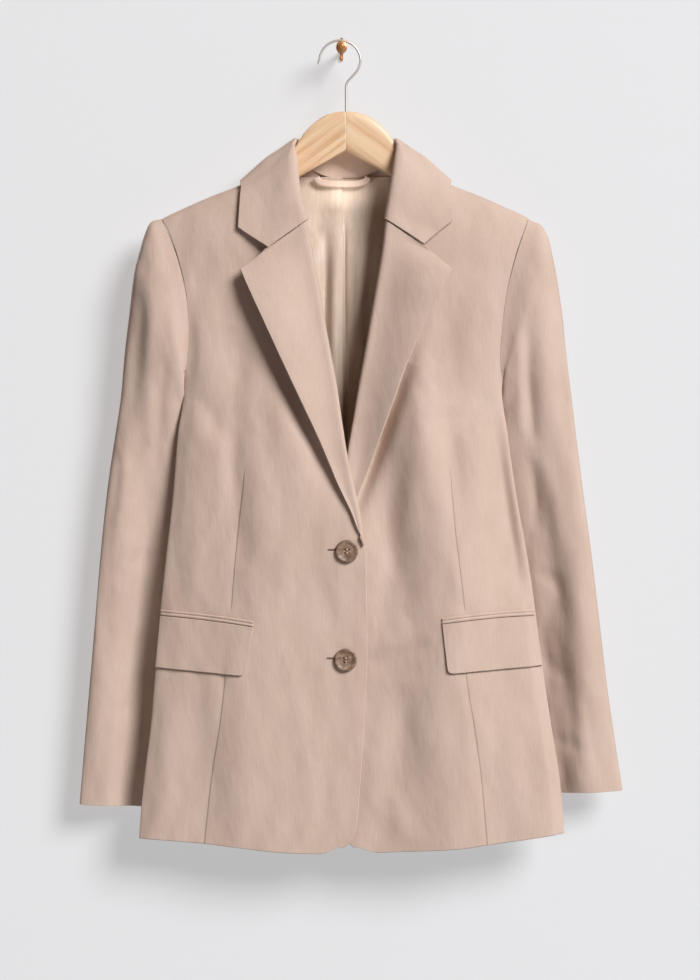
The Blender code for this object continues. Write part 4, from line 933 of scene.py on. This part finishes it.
def collar_back_rows(side):
    """The collar round the neck: from the neck seam up the stand, over the fold and down the fall."""
    lines = []
    for row in COLLAR_BACK:
        values = dict(zip(COLLAR_BACK_COLUMNS, row))
        place = {key: value * MM for key, value in values.items()}
        top = np.array((CENTRE + side * place["out"], place["depth"], place["crest"]))
        bottom = np.array((CENTRE + side * place["foot_out"], place["foot_depth"], place["foot"]))
        across, face = CENTRE + side * place["edge_out"], values["edge_face"]
        end = surface(across, place["edge"], face, COLLAR_FALL_LIFT, side)
        middle = mix(top, end, 0.5) + np.array((side * 1.5, 0.5 * face, 2.0)) * MM
        shoulder_in, shoulder_out = mix(bottom, top, 0.8), mix(top, middle, 0.2)
        stand = [bottom, mix(bottom, top, 0.45), shoulder_in, top, shoulder_out]
        fall = [mix(shoulder_out, middle, 0.5), middle, mix(middle, end, 0.5), mix(middle, end, 0.8), end]
        lines.append(np.array(stand + fall))
    return np.array(lines)


def refined(grid, factor, axis):
    """The grid with its points along one axis multiplied, on smooth curves through them."""
    grid = np.moveaxis(np.asarray(grid, float), axis, 0)
    place = np.linspace(0, len(grid) - 1, (len(grid) - 1) * factor + 1)
    low = np.clip(place.astype(int), 0, len(grid) - 2)
    before, after = np.maximum(low - 1, 0), np.minimum(low + 2, len(grid) - 1)
    start = (grid[low + 1] - grid[before]) / (2 - (before == low))[:, None, None]
    end = (grid[after] - grid[low]) / (2 - (after == low + 1))[:, None, None]
    made = hermite(grid[low], grid[low + 1], start, end, (place - low)[:, None, None])
    return np.moveaxis(made, 0, axis)


def collar(finish):
    """One cloth: two front halves with their notch corners, and the stand and fall round the neck."""
    halves = {}
    for side, rows in COLLAR_FRONTS.items():
        fold, across, height = cornered(rows).T
        lift = mix(*COLLAR_SPREAD, smooth(height * MM, *COLLAR_SPREAD_HEIGHTS)) * MM
        lengths = (fold * MM, np.full(fold.shape, COLLAR_ROLL), across * MM, height * MM)
        least = np.full(fold.shape, CLOTH + LAYER_GAP)
        front = rolled_rows(side, *lengths, lift, least, ROLL_REACH[0])
        fine = refined(collar_back_rows(side), COLLAR_FINE, 1)
        share = np.linspace(0, fine.shape[1] - 1, front.shape[1])
        low = np.clip(share.astype(int), 0, fine.shape[1] - 2)
        back = mix(fine[:, low], fine[:, low + 1], (share - low)[None, :, None])
        anchor = front[-COLLAR_FINE::-COLLAR_FINE][:3][::-1]
        joined = refined(np.concatenate([anchor, front[-1:], back]), COLLAR_FINE, 0)
        halves[side] = np.concatenate([front[:-1], joined[COLLAR_FINE * len(anchor) :]])
    grid = np.concatenate([halves[-1], halves[1][-2::-1]])
    return shell("collar", grid, -1, finish)


def sleeve_surface(side, places, angles):
    """Points of a sleeve: places are row numbers from the armhole seam down. Angle 0 is outermost, and the
    front has angles above 0."""
    name = side_name(side)
    values = dict(zip(SLEEVE_COLUMNS, at_rows([SEAM_ROW, *SLEEVE], places)))
    values = {key: value[:, None] for key, value in values.items()}
    angles = angles[None] - 2 * math.pi * np.round(angles[None] / (2 * math.pi))
    share = np.abs(angles) / math.pi
    face = np.where(angles >= 0, -1.0, 1.0)
    along = (1 - np.cos(math.pi * share)) / 2
    head, low = ARMHOLE[0][0] * MM, ARMHOLE[-1][0] * MM
    seam_z = mix(head, low, along)
    seam_x = outer_edge(side, seam_z)
    seam_y = np.where(face < 0, flat_depth(seam_x, seam_z, -1), flat_depth(seam_x, seam_z, 1))
    chord_x = mix(values["out_" + name], values["in_" + name], along) * MM
    z = mix(values["top_" + name], values["low_" + name], along) * MM
    bulge = values["half"] * np.sin(math.pi * share) ** 0.85
    y = (values["depth"] + values["tilt"] * (along - 0.5) + face * bulge) * MM
    weight = np.clip(values["seam"], 0, 1)
    bow = seam_x - mix(outer_edge(side, head), outer_edge(side, low), along)
    gap = side * ARMHOLE_GAP * smooth(weight, 0.8, 1)
    return np.stack([chord_x + weight * bow + gap, mix(y, seam_y, weight), z + 0 * angles], axis=-1)


def sleeve(side, finish):
    """Upper and under sleeve, with the creases of the front half and of the back half."""
    name = side_name(side)
    front, back = SLEEVE_FRONT_SEAM * math.pi, -SLEEVE_BACK_SEAM * math.pi
    places = fine_places(np.array([SEAM_ROW, *SLEEVE])[:, [5, 7]] * MM, SLEEVE_STEP)
    spans = {
        "upper_sleeve_": (back + SLEEVE_SEAM_GAP, front - SLEEVE_SEAM_GAP, 84),
        "under_sleeve_": (front + SLEEVE_SEAM_GAP, back - SLEEVE_SEAM_GAP + 2 * math.pi, 38),
    }

    def square(normals):
        normals[0, :, 0] = 0

    made = {}
    for piece, (start, end, columns) in spans.items():
        angles = np.linspace(start, end, columns)
        grid = sleeve_surface(side, places, angles)
        ahead, behind = (sleeve_surface(side, places, angles + step) for step in (ANGLE_STEP, -ANGLE_STEP))
        normals = unit(np.cross(np.gradient(grid, axis=0), ahead - behind) * -side)
        folded = relief("sleeve_" + name, grid[..., 0], grid[..., 2])
        back_folded = relief("sleeve_back", grid[..., 0], grid[..., 2])
        turn = np.sin(angles)[None]
        lift = np.where(turn > 0, folded, back_folded) * smooth(np.abs(turn), 0.05, 0.45)
        lift = lift * smooth(places, 0.4, 3.0)[:, None]
        seams = np.minimum(np.abs(angles - start), np.abs(angles - end))[None]
        grid = grid + normals * (lift * smooth(seams, 0, 0.12))[..., None]
        full = piece + name
        made[full] = shell(full, grid, -side, finish, square, round_by=TIGHT)
    return made


def lining_bulge(x, z):
    """How far forward of the back the lining hangs."""
    down = smooth(-z, *LINING_BULGE_TOP) * (1 - smooth(-z, *LINING_BULGE_LOW))
    return LINING_BULGE * down * (1 - smooth(np.abs(x - CENTRE), *LINING_BULGE_SIDE))


def lining_back(finish):
    """The back's lining: a centre pleat with its edge to the wearer's right, and soft folds."""
    rows = [(value,) for value in LINING_ROWS]
    z = at_rows(rows, fine_places(np.array(rows) * MM, 4 * MM))[0][:, None] * MM
    right = np.maximum(body("right", z) * LINING_SHARE, outer_edge(-1, z) + LINING_INSET)
    left = np.minimum(body("left", z) * LINING_SHARE, outer_edge(1, z) - LINING_INSET)
    # The pleat's edge drifts towards the wearer's left on its way down.
    edge = PLEAT_X - 0.6 * MM + 1.2 * MM * smooth(-z, 200 * MM, 500 * MM)
    near = np.concatenate([np.linspace(-30, -2, 15), BESIDE_PLEAT, np.linspace(7, 34, 14)]) * MM
    beside = fractions(30)[None]
    x = [mix(right, edge - 32 * MM, beside), edge + near[None], mix(edge + 36 * MM, left, beside)]
    x = np.concatenate(x, axis=1)
    out = np.abs(x - CENTRE)
    first = LINING_ROWS[0] * MM
    top = np.where(out >= LINING_FLAT, shoulder_height(x) - LINING_DROP, first)
    lowered = np.minimum(z, mix(first, top, smooth(out, 30 * MM, 62 * MM)) - 0.25 * (first - z))
    grid = surface(x, lowered, 1, 0.0, 1)
    grid[..., 1] = flat_depth(x, lowered, 1) - CLOTH - LINING_GAP - LINING - lining_bulge(x, lowered)
    proud = PLEAT_STEP * smooth(x, edge - 26 * MM, edge - 4 * MM) * (x < edge + 0.1 * MM)
    folds = relief("lining", x, lowered) * smooth(left - x, 0, 20 * MM) * smooth(x - right, 0, 20 * MM)
    groove = PLEAT_GROOVE * np.exp(-(((x - edge - 2.6 * MM) / (1.7 * MM)) ** 2))
    folds = folds - groove * smooth(-lowered, 185 * MM, 215 * MM)
    deepest = -1.3 * MM - 0.35 * lining_bulge(x, lowered)
    grid[..., 1] -= proud + np.maximum(folds, deepest) * smooth(-lowered, 145 * MM, 175 * MM)
    return shell("lining_back", grid, 1, finish, thickness=LINING, round_by=TIGHT)


def hanger_loop(finish):
    """A folded strip of the cloth, caught at both ends in the neck seam."""
    points = refined(np.array([(x, 0, z) for x, z in LOOP])[:, None] * MM, 8, 0)[:, 0]
    way = unit(np.gradient(points, axis=0))
    across = np.stack([-way[:, 2], 0 * way[:, 0], way[:, 0]], axis=1)
    t = np.linspace(-0.5, 0.5, 13)
    grid = points[:, None] + across[:, None] * LOOP_WIDTH * t[None, :, None]
    under = 2 * CLOTH + LINING_GAP + LINING + PLEAT_STEP + LOOP_GAP
    out = flat_depth(grid[..., 0], grid[..., 2], 1) - under
    round_edge = 0.7 * MM * (1 - (2 * t[None]) ** 2) ** 0.5
    grid[..., 1] = out - round_edge + 0.35 * MM * np.exp(-((t[None] / 0.09) ** 2))
    return shell("hanger_loop", grid, -1, finish)


def pocket_line(side, t):
    """Where a jet's top edge lies at a share t from its inner end to the side seam: x and z."""
    inner, top_inner, top_outer, bow = (value * MM for value in POCKETS[side][:4])
    outer = body(side_name(side), top_outer) * SIDE_SHARE
    return mix(inner, outer, t), mix(top_inner, top_outer, t) + 4 * bow * t * (1 - t)


def pocket(side, finish):
    """The jet, pressed in two narrow rolls, and the flap, which stands off the front at its lower edge."""
    jet_name, flap_name = "pocket_jet_" + side_name(side), "pocket_flap_" + side_name(side)
    down = fractions(POCKET_ROWS)[:, None]
    t = (1 - (1 - fractions(70)) ** POCKET_EASE)[None]
    x, z = pocket_line(side, t)
    roll = JET_ROLL * np.abs(np.sin(2 * math.pi * down)) ** 0.6
    jet = surface(x + 0 * down, z - down * JET_WIDTH, -1, CLOTH * 0.6 + roll, side)
    made = {jet_name: shell(jet_name, jet, side, finish)}
    start, low_inner, low_outer, slant = (POCKETS[side][k] * MM for k in (0, 4, 5, 6))
    close = np.linspace(0, FLAP_END_SHARE, 14)[:-1]
    beyond = FLAP_END_SHARE + (1 - FLAP_END_SHARE) * (1 - (1 - fractions(56)) ** POCKET_EASE)
    t = np.concatenate([close, beyond])[None]
    x, z = pocket_line(side, t)
    z = z - JET_WIDTH - SEAM
    outer = body(side_name(side), z) * SIDE_SHARE
    inset = t * np.abs(outer - start)
    corner = FLAP_CORNER - np.sqrt(np.maximum(FLAP_CORNER**2 - np.maximum(FLAP_CORNER - inset, 0) ** 2, 0))
    z = mix(z, mix(low_inner, low_outer, t) + corner * 0.8, down)
    x = mix(start + slant * down, body(side_name(side), z) * SIDE_SHARE, t)
    flap = surface(x, z, -1, CLOTH + mix(*FLAP_LIFT, down**1.5) * MM, side)
    made[flap_name] = shell(flap_name, flap, side, finish)
    return made


def stitch_tree(finish):
    """Stitches across a path: Spacing apart along it, Length long across it and Thickness thick."""
    tree = bpy.data.node_groups.new("stitches", "GeometryNodeTree")
    sockets = tree.interface
    sockets.new_socket("Path", in_out="INPUT", socket_type="NodeSocketGeometry")
    for label in ("Spacing", "Length", "Thickness"):
        sockets.new_socket(label, in_out="INPUT", socket_type="NodeSocketFloat")
    sockets.new_socket("Geometry", in_out="OUTPUT", socket_type="NodeSocketGeometry")
    start = node(tree, "NodeGroupInput")
    path = node(tree, "GeometryNodeMeshToCurve", links={"Mesh": start.outputs["Path"]})
    links = {"Curve": path.outputs[0], "Length": start.outputs["Spacing"]}
    places = node(tree, "GeometryNodeResampleCurve", {"mode": "LENGTH"}, links)
    half = node(tree, "GeometryNodeMeshUVSphere", Segments=6, Rings=5, Radius=0.5)
    links = {"X": start.outputs["Thickness"], "Y": start.outputs["Thickness"], "Z": start.outputs["Length"]}
    size = node(tree, "ShaderNodeCombineXYZ", links=links)
    tangent = node(tree, "GeometryNodeInputTangent")
    turn = node(tree, "FunctionNodeAlignRotationToVector", {"axis": "X"}, {"Vector": tangent.outputs[0]})
    links = {"Points": places.outputs[0], "Instance": half.outputs[0]}
    links.update({"Rotation": turn.outputs[0], "Scale": size.outputs[0]})
    copies = node(tree, "GeometryNodeInstanceOnPoints", links=links)
    real = node(tree, "GeometryNodeRealizeInstances", links={"Geometry": copies.outputs[0]})
    painted = node(tree, "GeometryNodeSetMaterial", links={"Geometry": real.outputs[0]})
    painted.inputs["Material"].default_value = finish
    node(tree, "NodeGroupOutput", links={"Geometry": painted.outputs[0]})
    return tree


def stitches(name, tree, points, spacing, length, thickness, slot):
    """A closed row of stitches along points, as one plain mesh on the body."""
    count = len(points)
    mesh = bpy.data.meshes.new(name + "_path")
    mesh.from_pydata([tuple(point) for point in points], [(k, (k + 1) % count) for k in range(count)], [])
    base = placed(name, mesh)
    modifier = base.modifiers.new("stitches", "NODES")
    modifier.node_group = tree
    given = {"Spacing": spacing, "Length": length, "Thickness": thickness}
    for item in tree.interface.items_tree:
        if item.in_out == "INPUT" and item.name in given:
            modifier[item.identifier] = given[item.name]
    evaluated = base.evaluated_get(bpy.context.evaluated_depsgraph_get())
    made = bpy.data.meshes.new_from_object(evaluated)
    base.modifiers.clear()
    base.data = made
    made.name = name
    made.shade_smooth()
    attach(base, "root")
    return base


def buttonhole(name, centre, tree):
    """A worked buttonhole: it runs from under the button towards the wearer's right."""
    x, z = (value * MM for value in centre)
    left, right = x - HOLE_REACH, x + HOLE_UNDER
    angles = np.linspace(0, 2 * math.pi, 28, endpoint=False)
    middle = (left + right) / 2 + np.sign(np.cos(angles)) * (right - left) / 2
    path_x, path_z = middle + HOLE_HALF * np.cos(angles), z + HOLE_RISE + HOLE_HALF * np.sin(angles)
    points = surface(path_x, path_z, -1, HOLE_LIFT, -1)
    stitches(name, tree, points, *HOLE_STITCH, "shell")


def thread(name, centre, finish):
    """Two bars of thread through the button's holes, each of two strands."""
    x, z = (value * MM for value in centre)
    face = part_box("button_" + name)[0].y + BUTTON_HEIGHT * BUTTON_DISH
    t = np.linspace(-1, 1, 9)[:, None]
    angle = 2 * math.pi * np.arange(6) / 6
    depth_of_strand = face - 0.55 * MM * (1 - t * t) + 1.4 * MM * t**6
    points, faces = [], []
    for up in (-1, 1):
        for beside in (-THREAD_RADIUS, THREAD_RADIUS):
            across = x + t * (BUTTON_HOLE_SPACING - 0.3 * MM)
            along = depth_of_strand + THREAD_RADIUS * np.cos(angle)
            height = z + up * BUTTON_HOLE_SPACING + beside + THREAD_RADIUS * np.sin(angle)
            rings = np.stack(np.broadcast_arrays(across, along, height[None]), axis=-1)
            faces += loft(rings, len(points))
            points += rings.reshape(-1, 3).tolist()
    return add_piece("thread_" + name, points, faces, finish)


def loft(rings, first=0):
    """Faces of a closed solid through rings of points, which are numbered from first, with flat ends."""
    number = first + np.arange(len(rings) * len(rings[0])).reshape(len(rings), -1)
    after = np.roll(number, -1, axis=1)
    quads = np.stack([number[:-1], after[:-1], after[1:], number[1:]], axis=-1).reshape(-1, 4).tolist()
    return quads + [number[0].tolist(), number[-1].tolist()]


def lofted(name, rings, finish):
    """A closed solid through rings of points. It takes the place of its own node."""
    return add_piece(name, np.array(rings).reshape(-1, 3).tolist(), loft(rings), finish, [name])


def hanger_arm(side, finish):
    """One arm of the hanger: a flat oval section that follows the table out from the mitre."""
    table = at_rows(HANGER, np.linspace(0, len(HANGER) - 1, ARM_RINGS))
    out, top, low, y, thick = (value[:, None] * MM for value in table)
    angles = np.linspace(0, 2 * math.pi, 48, endpoint=False)
    across, up = np.cos(angles), np.sin(angles)
    size = (np.abs(across) ** ARM_POWER + np.abs(up) ** ARM_POWER) ** (-1 / ARM_POWER)
    middle = (top + low) / 2 + up * size * (top - low) / 2
    rings = [HANGER_CENTRE + side * out, y + across * size * thick / 2, middle]
    rings = np.stack(np.broadcast_arrays(*rings), axis=-1)
    chamfer = mix(rings[0], rings[0].mean(axis=0), 0.02)
    rings[0] += np.array((side * 0.3 * MM, 0, 0))
    return lofted("hanger_arm_" + side_name(side), [chamfer, *rings], finish)


def hanger_wire(finish):
    """One bent wire, from its cut tip over the peg down into the wood."""
    bend = np.radians(np.arange(174, -1, -6))[:, None]
    bend = np.array(WIRE_BEND) + WIRE_BEND_RADIUS * np.concatenate([np.cos(bend), np.sin(bend)], axis=1)
    neck = refined(np.array(WIRE_NECK)[:, None] * MM, 4, 0)[:, 0]
    points = np.concatenate([[WIRE_TIP], bend, neck])
    way = unit(np.gradient(points, axis=0))
    radius = np.full((len(points), 1), WIRE_RADIUS)
    radius[0] *= WIRE_TIP_SHARE
    angles = 2 * math.pi * np.arange(16) / 16
    off, up = radius * np.cos(angles), radius * np.sin(angles)
    rings = [points[:, :1] - way[:, 1:] * off, WIRE_DEPTH + up, points[:, 1:] + way[:, :1] * off]
    return lofted("hanger_hook", np.stack(rings, axis=-1), finish)


def wall_and_floor():
    """A pale painted wall behind the hook and a pale floor far below it. The wall lets light and view
    through from behind, so that the back of the garment can be seen."""
    paint, tree, shader = new_material("matt_wall_paint", Base_Color=linear(WALL_COLOUR), Roughness=0.95)
    clear = node(tree, "ShaderNodeBsdfTransparent")
    rays = node(tree, "ShaderNodeLightPath")
    strength = math_node(tree, "MULTIPLY", rays.outputs["Is Camera Ray"], WALL_GLOW)
    glow = node(tree, "ShaderNodeEmission", links={"Strength": strength})
    lit = node(tree, "ShaderNodeAddShader", links={0: shader.outputs[0], 1: glow.outputs[0]})
    facing = node(tree, "ShaderNodeNewGeometry")
    through = math_node(tree, "MAXIMUM", facing.outputs["Backfacing"], rays.outputs["Is Shadow Ray"])
    mixed = node(tree, "ShaderNodeMixShader", links={0: through, 1: lit.outputs[0], 2: clear.outputs[0]})
    tree.links.new(mixed.outputs[0], tree.nodes["Material Output"].inputs["Surface"])
    left, right, near, far, low, high = ROOM
    for name, corners in {
        "wall": [(left, WALL_Y, low), (right, WALL_Y, low), (right, WALL_Y, high), (left, WALL_Y, high)],
        "floor": [(left, near, low), (right, near, low), (right, far, low), (left, far, low)],
    }.items():
        mesh = bpy.data.meshes.new(name)
        mesh.from_pydata(corners, [], [(0, 1, 2, 3)])
        mesh.materials.append(paint)
        made = placed(name, mesh)


def area_light(name, place, target, size, power, colour):
    """A round lamp, turned towards its target and not seen itself."""
    data = bpy.data.lights.new(name, "AREA")
    data.shape = "DISK"
    data.size = size
    data.energy = power
    data.color = linear(colour)[:3]
    made = placed(name, data)
    made.visible_camera = False
    made.location = place
    made.rotation_euler = (Vector(target) - Vector(place)).to_track_quat("-Z", "Y").to_euler()


def light_and_camera():
    """The lamps, a faint warm light from all round, the even background that is seen, and the camera."""
    world = bpy.data.worlds.new("studio")
    bpy.context.scene.world = world
    world.use_nodes = True
    tree = world.node_tree
    around = tree.nodes["Background"]
    around.inputs["Color"].default_value = linear(WORLD_COLOUR)
    around.inputs["Strength"].default_value = WORLD_STRENGTH
    seen = node(tree, "ShaderNodeBackground", Color=linear(STUDIO_COLOUR), Strength=1.0)
    rays = node(tree, "ShaderNodeLightPath")
    links = {0: rays.outputs["Is Camera Ray"], 1: around.outputs[0], 2: seen.outputs[0]}
    mixed = node(tree, "ShaderNodeMixShader", links=links)
    tree.links.new(mixed.outputs[0], tree.nodes["World Output"].inputs["Surface"])
    for name, row in LIGHTS.items():
        area_light(name, *row)
    data = bpy.data.cameras.new("camera")
    data.lens, data.sensor_width = CAMERA_LENS, CAMERA_SENSOR
    camera = placed("camera", data)
    camera.location = CAMERA_PLACE
    camera.rotation_euler = (math.radians(90), 0, 0)
    bpy.context.scene.camera = camera
    bpy.context.scene.view_settings.view_transform = "Standard"


def repaint(name, finish):
    """Gives a node that keeps its own mesh its finish."""
    data = nodes[name].data
    data.materials.clear()
    data.materials.append(finish)


def main():
    shell_cloth = linen("linen_blend_plain_weave", "#D0BCAE", "#CAB4A5", "#C3AC9C")
    inside = satin("viscose_satin", "#D9C7B5", "#D3C0AD", "#CDB9A5")
    buttons = horn("mottled_horn")
    sewing = plain("polyester_thread", "#8A6A58", 0.7)
    button_thread = plain("button_thread", "#CDB49C", 0.7)
    for side in (-1, 1):
        name = side_name(side)
        front_panel(side, shell_cloth)
        back_panel(side, shell_cloth)
        lapel(side, shell_cloth)
        sleeve(side, shell_cloth)
        pocket(side, shell_cloth)
        hanger_arm(side, beech("beech_" + name, -GRAIN_TURN * side))
    collar(shell_cloth)
    lining_back(inside)
    hanger_loop(shell_cloth)
    hanger_wire(plain("nickel_plated_wire", "#DAD6D1", 0.4, 0.55))
    tree = stitch_tree(sewing)
    for name, centre in BUTTONS.items():
        repaint("button_" + name, buttons)
        buttonhole("buttonhole_" + name, centre, tree)
        thread(name, centre, button_thread)
    brass = plain("polished_brass", "#D99A62", 0.32, 0.6)
    for name in ("wall_hook_plate", "wall_hook_peg", "wall_hook_drop"):
        repaint(name, brass)
    for made in bpy.data.objects:
        if made.type == "MESH" and made.name in nodes and not made.hide_render:
            made.data.shade_smooth()
            made.data.set_sharp_from_angle(angle=math.radians(NODE_SHARP))
    wall_and_floor()
    light_and_camera()


main()
